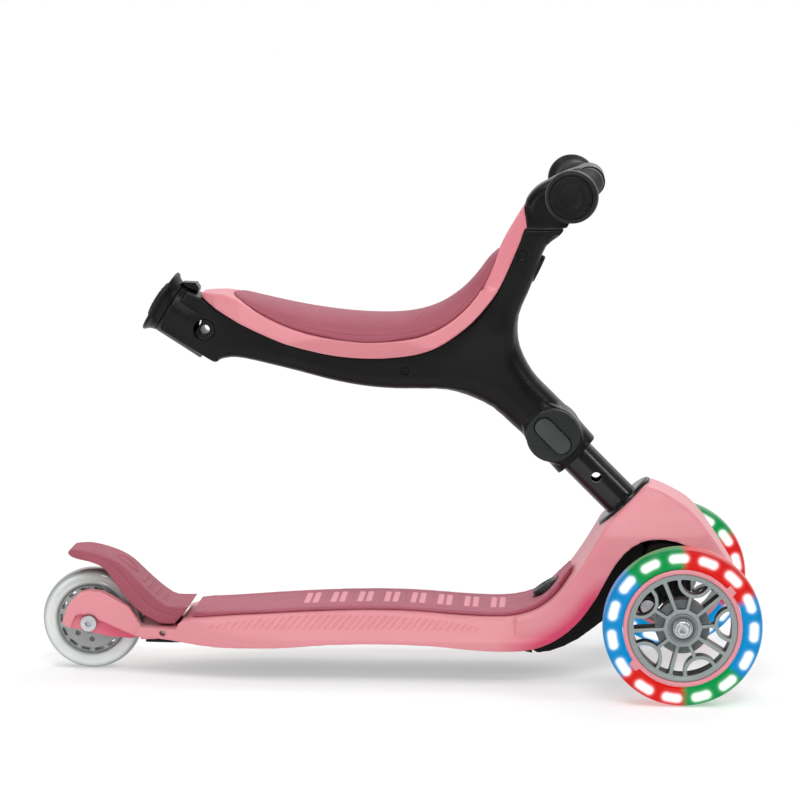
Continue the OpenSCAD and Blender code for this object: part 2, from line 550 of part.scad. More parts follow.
module frame_core_body() {
    side(-19, 19) polygon(concat(rev(smooth(core_rider, 2)), [], rev(smooth(core_front, 2)), [[136.5, 208.5], [155.5, 187.5], [127.5, 159.5]], rev(smooth(core_low, 2))));
    at_hub() rotate([90, 0, 0]) cylinder(r = 21, h = 40, center = true);
    socket_at(10) cylinder(r = 21.4, h = 42);
}
module frame_core() color(black) difference() {
  frame_core_body();
  clip_shape(8.05);
  // bore for the stem, deep enough for the low height
  on_stem(40) cylinder(r = 16.5, h = 70);
  on_stem(100) cylinder(r = stem_r + 0.4, h = 63);
  // pocket in the seat end
  socket_at(0) cylinder(r = 17.2, h = 38);
  // yoke slots and recesses
  at_hub() {
    for (m = [-1, 1]) translate([m * 18.05 - 1.25, -30, -5.4]) cube([2.5, 60, 10.8]);
    translate([-19.3, -30, -5.4]) cube([38.6, 15.6, 10.8]);
    translate([0, 30, 0]) rotate([90, 0, 0]) cylinder(r = 6.8, h = 13.2);
    translate([-19.3, 16.8, -5.4]) cube([38.6, 12, 10.8]);
    translate([0, -16, 0]) rotate([90, 0, 0]) linear_extrude(12) {
      translate([-7.4, -9.5]) square([14.8, 19]);
      for (e = [-1, 1]) translate([0, e * 9.5]) circle(r = 7.4);
    }
    rotate([90, 0, 0]) translate([0, 0, -30]) cylinder(r = 4.4, h = 20);
  }
  // side hole through the seat end
  ycyl(-149, 272, 3.75, -40, 40);
  for (m = [-1, 1]) ycyl(-149, 272, 8.5, m * 21 - 4.5, m * 21 + 4.5);
  // bore of the button
  translate(btn) rotate([0, 116, 0]) translate([0, 0, -14]) cylinder(r = 5.3, h = 60);
  translate(btn) rotate([0, 116, 0]) translate([0, 0, -4.4]) cylinder(r = 11.6, h = 60);
  // screw recesses
  for (p = frame_screw_xz) for (m = [-1, 1]) ycyl(p[0], p[1], 3.4, m * 19 - 2, m * 19 + 2);
  for (p = frame_screw_xz) ycyl(p[0], p[1], 1.8, -30, 30);
}
frame_screw_xz = [[8, 241], [99, 332]];
module frame_screws() color(steel) for (p = frame_screw_xz) for (m = [-1, 1]) {
  ycyl(p[0], p[1], 3, min(m * 17, m * 18.4), max(m * 17, m * 18.4));
  ycyl(p[0], p[1], 1.75, min(m * 8, m * 17.4), max(m * 8, m * 17.4));
}

seat_plan = [[-128, 6], [-124, 20], [-112, 34], [-90, 44], [-60, 49], [-25, 50], [10, 46], [35, 38], [55, 29], [75, 22], [84, 18]];
module seat_plan_block(g) translate([0, 0, 240]) linear_extrude(150) polygon(both(drop(smooth(seat_plan, 2), 0, g)));
trim_top = [[100, 370], [89, 352], [82, 339], [77, 326], [71, 313], [63, 299], [52, 287], [40, 278], [25, 271], [8, 267.5], [-15, 266], [-40, 267.5],
            [-65, 272], [-88, 279.5], [-108, 289], [-121, 297.5], [-135, 301], [-151, 301]];

// Pink shell between the core and the seat, up the rider's side of the arm.
module frame_trim() color(pink) difference() {
  intersection() {
    side(-56, 56) polygon(concat(smooth(trim_top, 2), rev(drop(smooth(core_rider, 2), 0.3, 0.5)), [[102.6, 353], [101, 362]]));
    translate([0, 0, 240]) linear_extrude(150) polygon(both([[-152, 14], [-140, 26], [-120, 38], [-90, 47], [-60, 52.5], [-25, 54], [10, 50], [35, 42], [55, 32], [72, 25], [90, 21.5], [104, 20]]));
    // flares from the core's width up to the seat's
    union() {
      translate([-160, 0, 0]) rotate([90, 0, 90]) linear_extrude(270) polygon([[-21, 240], [21, 240], [54, 270], [54, 305], [-54, 305], [-54, 270]]);
      side(-22, 22) polygon([[30, 255], [110, 255], [110, 375], [80, 375], [30, 300]]);
    }
  }
  frame_core_body();
  side(-25, 25) housing_outline();
  translate(btn) rotate([0, 116, 0]) translate([0, 0, -14]) cylinder(r = 5.3, h = 60);
}

module seat_pad() color(mauve) difference() {
  seat_pad_body();
  side(-60, 60) polygon(concat(smooth(trim_top, 2), [[-151, 240], [100, 240]]));
}
module seat_pad_body() intersection() {
  side(-56, 56) polygon(concat(
    [[-127, 300.5], [-121, 298]], drop(rev(smooth([[78, 328.5], [71, 313.5], [63, 299.5], [52, 287.5], [40, 278.5], [25, 271.5], [8, 268], [-15, 266.5], [-40, 268], [-65, 272.5], [-88, 280], [-108, 289.5], [-119, 296.5]], 2)), 0, 0),
    [[80.5, 335]],
    smooth([[77, 333.5], [71, 327], [63, 316.5], [54, 306.5], [45, 299.5], [34, 293.5], [20, 288.5], [2, 286], [-20, 285.5], [-45, 287.5], [-70, 291], [-95, 295.5], [-115, 299.5]], 2)));
  seat_plan_block(0);
}

module slider_bush() color([0.7, 0.7, 0.7]) difference() {
  on_stem(50.5) cylinder(r = 16.45, h = 49);
  on_stem(45) cylinder(r = stem_r + 0.05, h = 70);
  at_hub() translate([-30, -30, -5.6]) cube([60, 60, 11.2]);
  at_hub() translate([-9, -30, -18]) cube([18, 26, 36]);
}

module near_hub_disc() color([0.30, 0.32, 0.32]) at_hub() rotate([90, 0, 0]) difference() {
  translate([0, 0, 20.2]) rotate_extrude($fn = 64) polygon([[0, 0], [20.8, 0], [20.8, 4.2], [19.8, 5.2], [0, 5.8]]);
  translate([0, 0, 19]) cylinder(r = 19.6, h = 2.2);
  translate([0, 0, 15]) linear_extrude(20) {
    translate([-7.4, -9.5]) square([14.8, 19]);
    for (e = [-1, 1]) translate([0, e * 9.5]) circle(r = 7.4);
  }
}
module far_hub_disc() color([0.30, 0.32, 0.32]) at_hub() rotate([-90, 0, 0]) difference() {
  union() {
    translate([0, 0, 20.2]) rotate_extrude($fn = 64) polygon([[0, 0], [20.2, 0], [20.2, 5.6], [19.2, 6.4], [0, 6.8]]);
    for (i = [0 : 29]) rotate([0, 0, i * 12]) translate([20.2, 0, 20.4]) cylinder(r = 0.6, h = 5, $fn = 16);
  }
  translate([0, 0, 19]) cylinder(r = 19.4, h = 5.2);
  translate([0, 0, 19]) cylinder(r = 7, h = 6.4);
}

// ---- seat end ------------------------------------------------------------

module seat_end_cap() color(black) difference() {
  socket_at(0) rotate_extrude($fn = 64) polygon([[16.9, 0], [25.5, 0.4], [26.2, 1.6], [23.4, 4.6], [21.6, 8], [21.4, 9.9], [16.9, 9.9]]);
}
module seat_end_insert() color([0.16, 0.17, 0.17]) difference() {
  union() {
    socket_at(-3.6) rotate_extrude($fn = 64) polygon([[0, 0], [8, 0.4], [14, 1.6], [16, 3.4], [16.8, 4.4], [16.8, 30], [0, 30]]);
  }
  socket_at(2) cylinder(r = 13, h = 40);
  for (i = [-4 : 4]) translate([-186.5, 0, 294]) rotate([0, 122.5, 0]) translate([i * 3.4 - 0.5, -20, -5]) cube([1, 40, 2.6]);
}
// Spring clip on top of the seat end.
module clip_shape(w) side(-w, w) polygon([[-168, 308.5], [-157, 308], [-154.4, 304], [-155, 300.6], [-158, 301.8], [-165, 304.8]]);
module seat_end_clip() color(black) clip_shape(8);

// ---- handlebar -----------------------------------------------------------

bar_mid = [150, 0, 389];
function bar_bend(m) = [150, m * 36, 389];
function bar_end(m) = [135.7, m * 145, 383];

module housing_outline() polygon(smooth([[104, 352.4], [102.2, 357], [101, 362], [100, 368], [101.4, 374], [105.4, 380], [111, 385], [118, 389], [130, 395], [144, 399.5],
  [155, 398], [160.5, 391], [158, 381], [148, 372], [140, 362], [132.5, 352.4]], 3));
module handlebar_housing() color(black) difference() {
  union() {
    side(-20, 20) housing_outline();
    ycyl(150, 389, 12, -33, 33);
  }
  ycyl(150, 389, 9.05, -60, 60);
}
module handlebar_tube() color([0.12, 0.12, 0.12]) union() {
  ycyl(150, 389, 9, -36, 36);
  for (m = [-1, 1]) {
    translate(bar_bend(m)) sphere(r = 9.4);
    from_to(bar_bend(m), bar_end(m)) cylinder(r = 9, h = 104);
  }
}
module grip(m) color([0.14, 0.15, 0.15]) difference() {
  from_to(bar_bend(m), bar_end(m)) rotate_extrude($fn = 64) polygon([[9.02, 4], [grip_r - 0.6, 4], [grip_r, 7], [grip_r, 30],
    [grip_r + 0.8, 58], [grip_r + 0.4, 82], [grip_r + 2, 92], [15, 98], [flange_r - 1.2, 101.6], [flange_r, 103.4],
    [flange_r, 106.4], [flange_r - 1.5, 108.4], [flange_r - 3.4, 109.6], [15.4, 109.2], [9.02, 109.2]]);
}
module left_grip() grip(1);
module right_grip() grip(-1);
module end_plug(m) color(black) from_to(bar_bend(m), bar_end(m)) difference() {
  union() {
    translate([0, 0, 104.2]) cylinder(r = 8.8, h = 5.4);
    translate([0, 0, 109.3]) rotate_extrude() polygon([[0, 0], [14.6, 0], [14.6, 0.5], [9.2, 1.1], [8.8, 0.6], [0, 0.6]]);
  }
}
module left_end_plug() end_plug(1);
module right_end_plug() end_plug(-1);
// Latch plate under the bar that holds the housing on the arm.
module handlebar_catch() color([0.05, 0.05, 0.05]) side(-6, 6) polygon([[141, 361.6], [149.2, 371.6], [152, 370.6], [144, 360.4]]);

// ---- drawing -------------------------------------------------------------

deck_shell();
deck_base();
deck_mat();
pivot_bracket();
head_collar();
stem_tube();
stem_socket();
stem_bolt();
kingpin();
kingpin_washer();
pivot_cross_bolt();
steering_bushings();
deck_screws();
lock_bezel();
rear_axle_bolt();
rear_axle_nut();
brake_pin();
brake_fender();
brake_pad();
brake_spring();
rear_tyre();
rear_hub();
rear_bearings();
truck_beam();
left_axle_bolt();
right_axle_bolt();
left_tyre();
left_light_ring();
left_snap_ring();
left_hub();
left_bearings();
left_generator_ring();
right_tyre();
right_light_ring();
right_snap_ring();
right_hub();
right_bearings();
right_generator_ring();
frame_core();
frame_trim();
seat_pad();
slider_bush();
near_hub_disc();
far_hub_disc();
seat_end_cap();
seat_end_insert();
seat_end_clip();
frame_screws();
handlebar_housing();
handlebar_tube();
left_grip();
right_grip();
left_end_plug();
right_end_plug();
handlebar_catch();
height_lock_button();
height_lock_yoke();
height_lock_spring();
steering_lock_button();
handlebar_button();
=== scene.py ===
# Looks of the kick scooter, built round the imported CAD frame. Metres, +X forward, +Y left, +Z up.
import bpy, bmesh, math, random
import numpy as np
from mathutils import Matrix, Vector


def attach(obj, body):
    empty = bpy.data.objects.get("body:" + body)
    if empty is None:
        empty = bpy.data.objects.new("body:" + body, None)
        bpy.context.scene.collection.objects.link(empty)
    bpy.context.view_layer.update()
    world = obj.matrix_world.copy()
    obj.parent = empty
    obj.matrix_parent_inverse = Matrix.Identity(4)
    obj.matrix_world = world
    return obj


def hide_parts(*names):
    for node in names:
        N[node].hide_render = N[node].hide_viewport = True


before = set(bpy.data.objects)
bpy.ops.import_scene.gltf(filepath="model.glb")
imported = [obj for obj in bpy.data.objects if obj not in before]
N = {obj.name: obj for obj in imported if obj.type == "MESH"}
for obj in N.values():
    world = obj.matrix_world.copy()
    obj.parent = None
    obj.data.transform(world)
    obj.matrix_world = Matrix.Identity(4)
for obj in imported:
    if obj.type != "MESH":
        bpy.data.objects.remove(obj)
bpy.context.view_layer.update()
scene = bpy.context.scene
random.seed(7)

# ---------------------------------------------------------------- camera and stage
MM = 0.001
AZ, EL = math.radians(3.16), math.radians(7.06)
fwd = Vector((-math.sin(AZ) * math.cos(EL), math.cos(AZ) * math.cos(EL), -math.sin(EL)))
right = Vector((math.cos(AZ), math.sin(AZ), 0))
up = right.cross(fwd)
cam = bpy.data.objects.new("camera", bpy.data.cameras.new("camera"))
scene.collection.objects.link(cam)
cam.matrix_world = Matrix(((right.x, up.x, -fwd.x, 0.1325), (right.y, up.y, -fwd.y, -2.349), (right.z, up.z, -fwd.z, 0.507), (0, 0, 0, 1)))
cam.data.sensor_fit = "HORIZONTAL"
cam.data.sensor_width = 36
cam.data.lens = 3016 / 800 * 36
cam.data.clip_start = 0.05
cam.data.clip_end = 100
scene.camera = cam
scene.view_settings.view_transform = "Standard"
scene.view_settings.look = "None"


def area(name, loc, target, size, power, colour=(1, 1, 1), size_y=None):
    d = bpy.data.lights.new(name, "AREA")
    d.energy = power
    d.color = colour
    d.size = size
    if size_y:
        d.shape = "RECTANGLE"
        d.size_y = size_y
    o = bpy.data.objects.new(name, d)
    scene.collection.objects.link(o)
    o.location = loc
    o.rotation_mode = "QUATERNION"
    o.rotation_quaternion = (Vector(target) - Vector(loc)).to_track_quat("-Z", "Y")
    return o


area("key", (0.5, -1.9, 2.6), (0, 0, 0.15), 1.1, 29, size_y=0.8)
area("right_strip", (1.6, -0.75, 1.35), (0.1, 0, 0.2), 0.25, 6, size_y=0.9)
area("fill", (-1.6, -2.6, 0.9), (0, 0, 0.2), 1.2, 16)
area("rim", (0.9, 1.6, 1.8), (0, 0, 0.2), 1.4, 14)
area("kicker", (0.05, -2.2, 1.45), (0.02, 0, 0.22), 0.45, 7)
area("strip", (-0.7, -0.5, 2.4), (0, 0, 0.2), 0.9, 12, size_y=0.4)
world = bpy.data.worlds.new("studio")
scene.world = world
world.use_nodes = True
wt = world.node_tree
bg = next(n for n in wt.nodes if n.type == "BACKGROUND")
wtc, wsep, wmap, wmix = (wt.nodes.new(k) for k in ("ShaderNodeTexCoord", "ShaderNodeSeparateXYZ", "ShaderNodeMapRange", "ShaderNodeCombineColor"))
wt.links.new(wtc.outputs["Generated"], wsep.inputs[0])
wt.links.new(wsep.outputs[1], wmap.inputs[0])
for i, v in zip((1, 2, 3, 4), (-0.10, 0.55, 0.20, 1.0)):
    wmap.inputs[i].default_value = v
for i in range(3):
    wt.links.new(wmap.outputs[0], wmix.inputs[i])
wt.links.new(wmix.outputs[0], bg.inputs["Color"])
bg.inputs["Strength"].default_value = 1.0

# ---------------------------------------------------------------- materials
def lin(r, g, b):
    """sRGB bytes to linear colour."""
    f = lambda c: c / 12.92 if c <= 0.04045 else ((c + 0.055) / 1.055) ** 2.4
    return (f(r / 255), f(g / 255), f(b / 255), 1)


class Mat:
    """A small helper that builds a node material."""
    def __init__(self, name):
        self.m = bpy.data.materials.new(name)
        self.m.use_nodes = True
        self.t = self.m.node_tree
        self.b = next(n for n in self.t.nodes if n.type == "BSDF_PRINCIPLED")
        self.tc = self.n("ShaderNodeTexCoord")

    def n(self, kind, **props):
        node = self.t.nodes.new(kind)
        for k, v in props.items():
            setattr(node, k, v)
        return node

    def link(self, a, b):
        self.t.links.new(a, b)

    def put(self, socket, value):
        if hasattr(value, "is_linked") or hasattr(value, "links"):
            self.link(value, socket)
        else:
            socket.default_value = value

    def math(self, op, a, b=0.0, c=0.0, clamp=False):
        k = self.n("ShaderNodeMath", operation=op, use_clamp=clamp)
        for s, v in zip(k.inputs, (a, b, c)):
            self.put(s, v)
        return k.outputs[0]

    def noise(self, scale, detail=2.0, rough=0.5, stretch=None, distortion=0.0):
        k = self.n("ShaderNodeTexNoise")
        k.inputs["Scale"].default_value = scale
        k.inputs["Detail"].default_value = detail
        k.inputs["Roughness"].default_value = rough
        k.inputs["Distortion"].default_value = distortion
        v = self.tc.outputs["Object"]
        if stretch:
            mp = self.n("ShaderNodeMapping")
            mp.inputs["Scale"].default_value = stretch
            self.link(v, mp.inputs["Vector"])
            v = mp.outputs["Vector"]
        self.link(v, k.inputs["Vector"])
        return k.outputs["Fac"]

    def voronoi(self, scale, feature="F1", out="Distance"):
        k = self.n("ShaderNodeTexVoronoi", feature=feature)
        k.inputs["Scale"].default_value = scale
        self.link(self.tc.outputs["Object"], k.inputs["Vector"])
        return k.outputs[out]

    def span(self, v, a, b, c, d, clamp=True):
        k = self.n("ShaderNodeMapRange", clamp=clamp)
        self.put(k.inputs[0], v)
        for i, x in zip((1, 2, 3, 4), (a, b, c, d)):
            k.inputs[i].default_value = x
        return k.outputs[0]

    def mix(self, f, a, b, blend="MIX"):
        k = self.n("ShaderNodeMix", data_type="RGBA", blend_type=blend)
        self.put(k.inputs[0], f)
        self.put(k.inputs[6], a)
        self.put(k.inputs[7], b)
        return k.outputs[2]

    def bump(self, height, strength, distance, under=None):
        k = self.n("ShaderNodeBump")
        k.inputs["Strength"].default_value = strength
        k.inputs["Distance"].default_value = distance
        self.put(k.inputs["Height"], height)
        if under is not None:
            self.link(under, k.inputs["Normal"])
        return k.outputs["Normal"]

    def xyz(self):
        k = self.n("ShaderNodeSeparateXYZ")
        self.link(self.tc.outputs["Object"], k.inputs[0])
        return k.outputs

    def attr(self, name):
        k = self.n("ShaderNodeAttribute", attribute_name=name)
        return k.outputs["Fac"]

    def out(self, colour=None, rough=None, normal=None, **fixed):
        if colour is not None:
            self.put(self.b.inputs["Base Color"], colour)
        if rough is not None:
            self.put(self.b.inputs["Roughness"], rough)
        if normal is not None:
            self.link(normal, self.b.inputs["Normal"])
        for k, v in fixed.items():
            self.b.inputs[k.replace("_", " ")].default_value = v
        return self.m


def plastic(name, colour, rough=0.42, vary=0.05, grain=1400, bump=0.10, edge_wear_and_sheen=0.25, wear_and_sheen_colour=None, scuffs=0.25,
            deep=None, pores=0.0, wobble=0.05, **fixed):
    """Moulded plastic: mottled colour, fine spark-eroded grain, hair scratches and paler edges, partly edge wear and
    partly a painted highlight.
    """
    k = Mat(name)
    c = lin(*colour)
    tone = k.noise(22, 4, 0.55)
    dark = tuple(x * (1 - vary) for x in c[:3]) + (1,)
    pale = tuple(min(1, x * (1 + vary) + 0.004) for x in c[:3]) + (1,)
    col = k.mix(k.span(tone, 0.3, 0.7, 0, 1), dark, pale)
    # mixes in the colour deep by the 'deep' attribute: painted shade on the pink mouldings and front hubs, paler raised
    # pads on the mat
    if deep:
        col = k.mix(k.attr("deep"), col, lin(*deep))
    speck = k.span(k.noise(2600, 2, 0.6), 0.35, 0.75, 0.0, 1.0)
    col = k.mix(k.math("MULTIPLY", speck, 0.06), col, tuple(x * 0.8 for x in c[:3]) + (1,))
    scratch = k.math("MULTIPLY", k.span(k.noise(240, 3, 0.7, stretch=(0.10, 1, 1.6), distortion=0.6), 0.655, 0.70, 0, 1),
                     k.span(k.noise(14, 2), 0.48, 0.62, 0, 1))
    geo = k.n("ShaderNodeNewGeometry")
    # paler convex edges found by pointiness: partly wear, partly a painted highlight on edges and chamfers
    edge = k.math("MULTIPLY", k.span(geo.outputs["Pointiness"], 0.53, 0.60, 0, 1), k.span(k.noise(160, 4, 0.7), 0.40, 0.62, 0.15, 1))
    wc = lin(*wear_and_sheen_colour) if wear_and_sheen_colour else tuple(min(1, x * 1.25 + 0.03) for x in c[:3]) + (1,)
    col = k.mix(k.math("MULTIPLY", edge, edge_wear_and_sheen), col, wc)
    col = k.mix(k.math("MULTIPLY", scratch, scuffs * 0.5), col, wc)
    r = k.span(k.noise(60, 5, 0.6), 0.3, 0.7, rough - 0.035, rough + 0.04)
    r = k.math("ADD", r, k.math("MULTIPLY", scratch, 0.12 * scuffs * 2))
    r = k.math("ADD", r, k.math("MULTIPLY", edge, 0.08), clamp=True)
    nrm = k.bump(k.noise(grain, 3, 0.6), bump, 0.0003)
    if pores:
        nrm = k.bump(k.voronoi(grain * 0.55, "SMOOTH_F1"), pores, 0.0004, nrm)
    if wobble:
        nrm = k.bump(k.noise(55, 2), wobble, 0.0012, nrm)
    return k.out(col, r, nrm, **fixed)


def metal(name, colour, rough=0.28, brushed=(1, 1, 14), amount=1.0):
    """Zinc-plated or machined steel with a turned finish and faint staining."""
    k = Mat(name)
    c = lin(*colour)
    stain = k.span(k.noise(180, 5, 0.65), 0.35, 0.7, 0, 1)
    col = k.mix(stain, c, tuple(x * 0.72 for x in c[:3]) + (1,))
    lines = k.noise(420, 3, 0.7, stretch=brushed)
    r = k.math("ADD", k.span(lines, 0.3, 0.7, rough - 0.07, rough + 0.1), k.math("MULTIPLY", stain, 0.1))
    return k.out(col, r, k.bump(lines, 0.22, 0.0002), Metallic=amount)


PINK, MAUVE = (221, 141, 149), (160, 82, 97)
DULL = dict(Specular_IOR_Level=0.22)
M = {}
# deep=(206, 56, 96) is the hot pink of the painted shade on the deck moulding and the trim
M["pink"] = plastic("pink_moulding", PINK, 0.40, vary=0.022, grain=1500, bump=0.07, edge_wear_and_sheen=0.30, wear_and_sheen_colour=(244, 192, 197), deep=(206, 56, 96), Specular_IOR_Level=0.38)
M["pink_ring"] = plastic("pink_ring", (220, 142, 150), 0.36, vary=0.02, grain=2200, bump=0.05, edge_wear_and_sheen=0.4, wear_and_sheen_colour=(244, 192, 197), Specular_IOR_Level=0.38)
M["mauve"] = plastic("mauve_grip_rubber", MAUVE, 0.58, vary=0.05, grain=2300, bump=0.24, edge_wear_and_sheen=0.3, wear_and_sheen_colour=(196, 122, 136), pores=0.25, Specular_IOR_Level=0.25)
M["seat"] = plastic("seat_skin", (162, 84, 99), 0.56, vary=0.045, grain=1250, bump=0.20, edge_wear_and_sheen=0.25, wear_and_sheen_colour=(200, 126, 140), pores=0.35, scuffs=0.15, Specular_IOR_Level=0.25)
M["black"] = plastic("black_plastic", (9, 10, 10), 0.34, vary=0.14, grain=1700, bump=0.14, edge_wear_and_sheen=0.45, wear_and_sheen_colour=(64, 68, 67), scuffs=0.4, Specular_IOR_Level=0.17)
M["black_dull"] = plastic("black_textured_plastic", (8, 9, 9), 0.55, vary=0.15, grain=1300, bump=0.30, edge_wear_and_sheen=0.35, wear_and_sheen_colour=(56, 59, 58), pores=0.2, Specular_IOR_Level=0.16)
M["gloss"] = plastic("black_gloss", (7, 8, 8), 0.22, vary=0.12, grain=700, bump=0.03, edge_wear_and_sheen=0.4, wear_and_sheen_colour=(70, 74, 74), scuffs=0.5, Specular_IOR_Level=0.32)
M["rubber"] = plastic("black_rubber", (8, 9, 9), 0.68, vary=0.12, grain=2400, bump=0.38, edge_wear_and_sheen=0.4, wear_and_sheen_colour=(56, 58, 58), scuffs=0.1, Specular_IOR_Level=0.18)
M["grip"] = plastic("grip_rubber", (11, 12, 12), 0.42, vary=0.1, grain=2800, bump=0.30, edge_wear_and_sheen=0.6, wear_and_sheen_colour=(84, 88, 87), scuffs=0.1, pores=0.1, Specular_IOR_Level=0.26)
# the disc and button edge colours are far paler than their bodies: mostly a painted highlight on rims and island edges
M["disc"] = plastic("disc_grey", (28, 31, 30), 0.36, vary=0.06, grain=2400, bump=0.12, edge_wear_and_sheen=0.6, wear_and_sheen_colour=(134, 142, 139), Specular_IOR_Level=0.3)
M["button"] = plastic("button_grey", (56, 62, 60), 0.38, vary=0.05, grain=2400, bump=0.14, edge_wear_and_sheen=0.5, wear_and_sheen_colour=(138, 146, 142), Specular_IOR_Level=0.34)
# deep=(17, 19, 20) is the near-black painted shade inside the spoked hub
M["grey"] = plastic("grey_hub", (142, 150, 150), 0.36, vary=0.04, grain=1900, bump=0.10, edge_wear_and_sheen=0.5, wear_and_sheen_colour=(190, 196, 196), deep=(17, 19, 20), Specular_IOR_Level=0.4)
M["grey2"] = plastic("rear_hub_plastic", (160, 166, 165), 0.34, vary=0.04, grain=1900, bump=0.08, edge_wear_and_sheen=0.4, wear_and_sheen_colour=(214, 218, 216))
M["white"] = plastic("slider_plastic", (20, 22, 22), 0.40, vary=0.06, grain=1600, bump=0.08, Specular_IOR_Level=0.25)
M["magnet"] = plastic("magnet_ring", (70, 66, 62), 0.5, vary=0.1, grain=1900, bump=0.25)
M["tube"] = plastic("black_tube", (13, 14, 14), 0.17, vary=0.03, grain=2400, bump=0.012, edge_wear_and_sheen=0.0, wear_and_sheen_colour=(90, 94, 94), scuffs=0.03, wobble=0.0, Specular_IOR_Level=0.42)
M["steel"] = metal("bolt_steel", (206, 208, 210), 0.22, amount=0.6)
M["bearing"] = metal("bearing_steel", (132, 138, 141), 0.30)
M["dark_steel"] = metal("blackened_steel", (38, 40, 40), 0.38)


def clear_tyre():
    """Clear polyurethane: pale in the wall, greyer at the bead, with a painted dark rim standing in for the shade where
    it is seen edge-on; bubbles and flow marks.
    """
    k = Mat("clear_tyre")
    x, y, z = k.xyz()
    dx, dz = k.math("SUBTRACT", x, RX), k.math("SUBTRACT", z, RZ)
    rad = k.math("SQRT", k.math("ADD", k.math("MULTIPLY", dx, dx), k.math("MULTIPLY", dz, dz)))
    tone = k.noise(40, 4, 0.6)
    col = k.mix(k.span(tone, 0.3, 0.7, 0, 1), lin(206, 214, 212), lin(228, 233, 231))
    ramp = k.n("ShaderNodeValToRGB")
    els = ramp.color_ramp.elements
    # the dark stops towards the outer edge are a painted shade of the rim seen edge-on
    stops = [(0.0, (120, 130, 128)), (0.09, (150, 160, 157)), (0.16, (176, 185, 182)), (0.25, (214, 220, 218)), (0.62, (226, 231, 229)), (0.76, (198, 206, 203)), (0.86, (132, 140, 138)), (0.93, (62, 68, 67)), (1.0, (70, 76, 75))]
    while len(els) < len(stops):
        els.new(0.5)
    for e, (p, c) in zip(els, stops):
        e.position = p
    for e, (p, c) in zip(els, stops):
        e.color = lin(*c)
    k.link(k.span(rad, 0.0268, 0.0400, 0, 1), ramp.inputs["Fac"])
    col = k.mix(0.75, col, ramp.outputs["Color"])
    # painted shade: greyer towards the fender, standing in for its shadow and for the plate seen through the clear tyre
    up = k.math("MULTIPLY", k.span(dz, 0.004, 0.034, 0, 0.5), k.span(dx, -0.03, 0.02, 0.35, 1))
    col = k.mix(up, col, lin(96, 108, 104))
    bubbles = k.span(k.voronoi(900), 0.0, 0.22, 1, 0)
    col = k.mix(k.math("MULTIPLY", bubbles, 0.10), col, lin(160, 168, 167))
    r = k.span(k.noise(70, 4, 0.6), 0.3, 0.7, 0.12, 0.22)
    nrm = k.bump(k.noise(520, 3, 0.6), 0.05, 0.0003)
    nrm = k.bump(bubbles, 0.04, 0.0002, nrm)
    return k.out(col, r, nrm, Coat_Weight=0.4, Coat_Roughness=0.08)


FX, FZ, TRACK = 0.2215, 0.060, 0.112
RX, RZ = -0.2415, 0.040
M["clear"] = clear_tyre()


def lit_tyre(name, cy, colours, lamp0):
    """Clear tyre lit from inside: coloured sectors with a white-hot spot at each of the 15 lamps."""
    k = Mat(name)
    x, y, z = k.xyz()
    dx = k.math("SUBTRACT", x, FX)
    dz = k.math("SUBTRACT", z, FZ)
    ang = k.math("MULTIPLY", k.math("ARCTAN2", dz, dx), 180 / math.pi)
    rad = k.math("SQRT", k.math("ADD", k.math("MULTIPLY", dx, dx), k.math("MULTIPLY", dz, dz)))
    wob = k.math("MULTIPLY", k.math("SUBTRACT", k.noise(60, 2), 0.5), 7.0)
    turn = k.math("FRACT", k.math("ADD", k.math("DIVIDE", k.math("ADD", ang, wob), 360.0), 1.0))
    ramp = k.n("ShaderNodeValToRGB")
    ramp.color_ramp.interpolation = "LINEAR"
    els = ramp.color_ramp.elements
    stops = []
    for i, (a, c) in enumerate(colours):
        b = colours[(i + 1) % len(colours)][0] + (360 if i == len(colours) - 1 else 0)
        stops += [(a + 3, c), (b - 3, c)]
    stops = sorted(((p % 360) / 360, c) for p, c in stops)
    while len(els) < len(stops):
        els.new(0.5)
    for e, (p, c) in zip(els, stops):
        e.position = p
    for e, (p, c) in zip(els, stops):
        e.color = lin(*c)
    k.link(turn, ramp.inputs["Fac"])
    col = ramp.outputs["Color"]
    # deeper colour at the tread's outer edge and a little streaking
    deep = k.math("MULTIPLY", k.span(rad, 0.0555, 0.0598, 0, 0.55), k.span(k.noise(90, 3), 0.35, 0.6, 0.4, 1))
    col = k.mix(deep, col, k.mix(0.45, col, (0.01, 0.01, 0.06, 1)))
    # lamps
    q = k.math("SUBTRACT", k.math("FRACT", k.math("ADD", k.math("DIVIDE", k.math("SUBTRACT", ang, lamp0), 24.0), 30.5)), 0.5)
    along = k.math("MULTIPLY", k.math("ABSOLUTE", q), 24.0 * math.pi / 180 * 0.0532)
    along = k.math("MAXIMUM", k.math("SUBTRACT", along, 0.0042), 0.0)
    across = k.math("SUBTRACT", rad, 0.0532)
    dist = k.math("SQRT", k.math("ADD", k.math("MULTIPLY", along, along), k.math("MULTIPLY", across, across)))
    hot = k.span(dist, 0.0010, 0.0047, 1, 0)
    halo = k.math("MULTIPLY", k.span(dist, 0.002, 0.0062, 1, 0), 0.16)
    side = k.span(k.math("ABSOLUTE", k.math("SUBTRACT", y, cy)), 0.0006, 0.0040, 0.0, 1)
    glow = k.math("MAXIMUM", hot, halo)
    em = k.mix(glow, col, (1, 1, 1, 1))
    k.link(em, k.b.inputs["Emission Color"])
    strength = k.math("ADD", 0.86, k.math("MULTIPLY", hot, 1.2))
    k.link(strength, k.b.inputs["Emission Strength"])
    base = k.mix(0.05, (0.002, 0.002, 0.002, 1), col)
    nrm = k.bump(k.noise(420, 3, 0.6), 0.06, 0.0003)
    r = k.span(k.noise(70, 4, 0.6), 0.3, 0.7, 0.16, 0.3)
    return k.out(base, r, nrm, Specular_IOR_Level=0.10)


GREEN, RED, BLUE = (2, 158, 78), (230, 30, 24), (0, 146, 214)
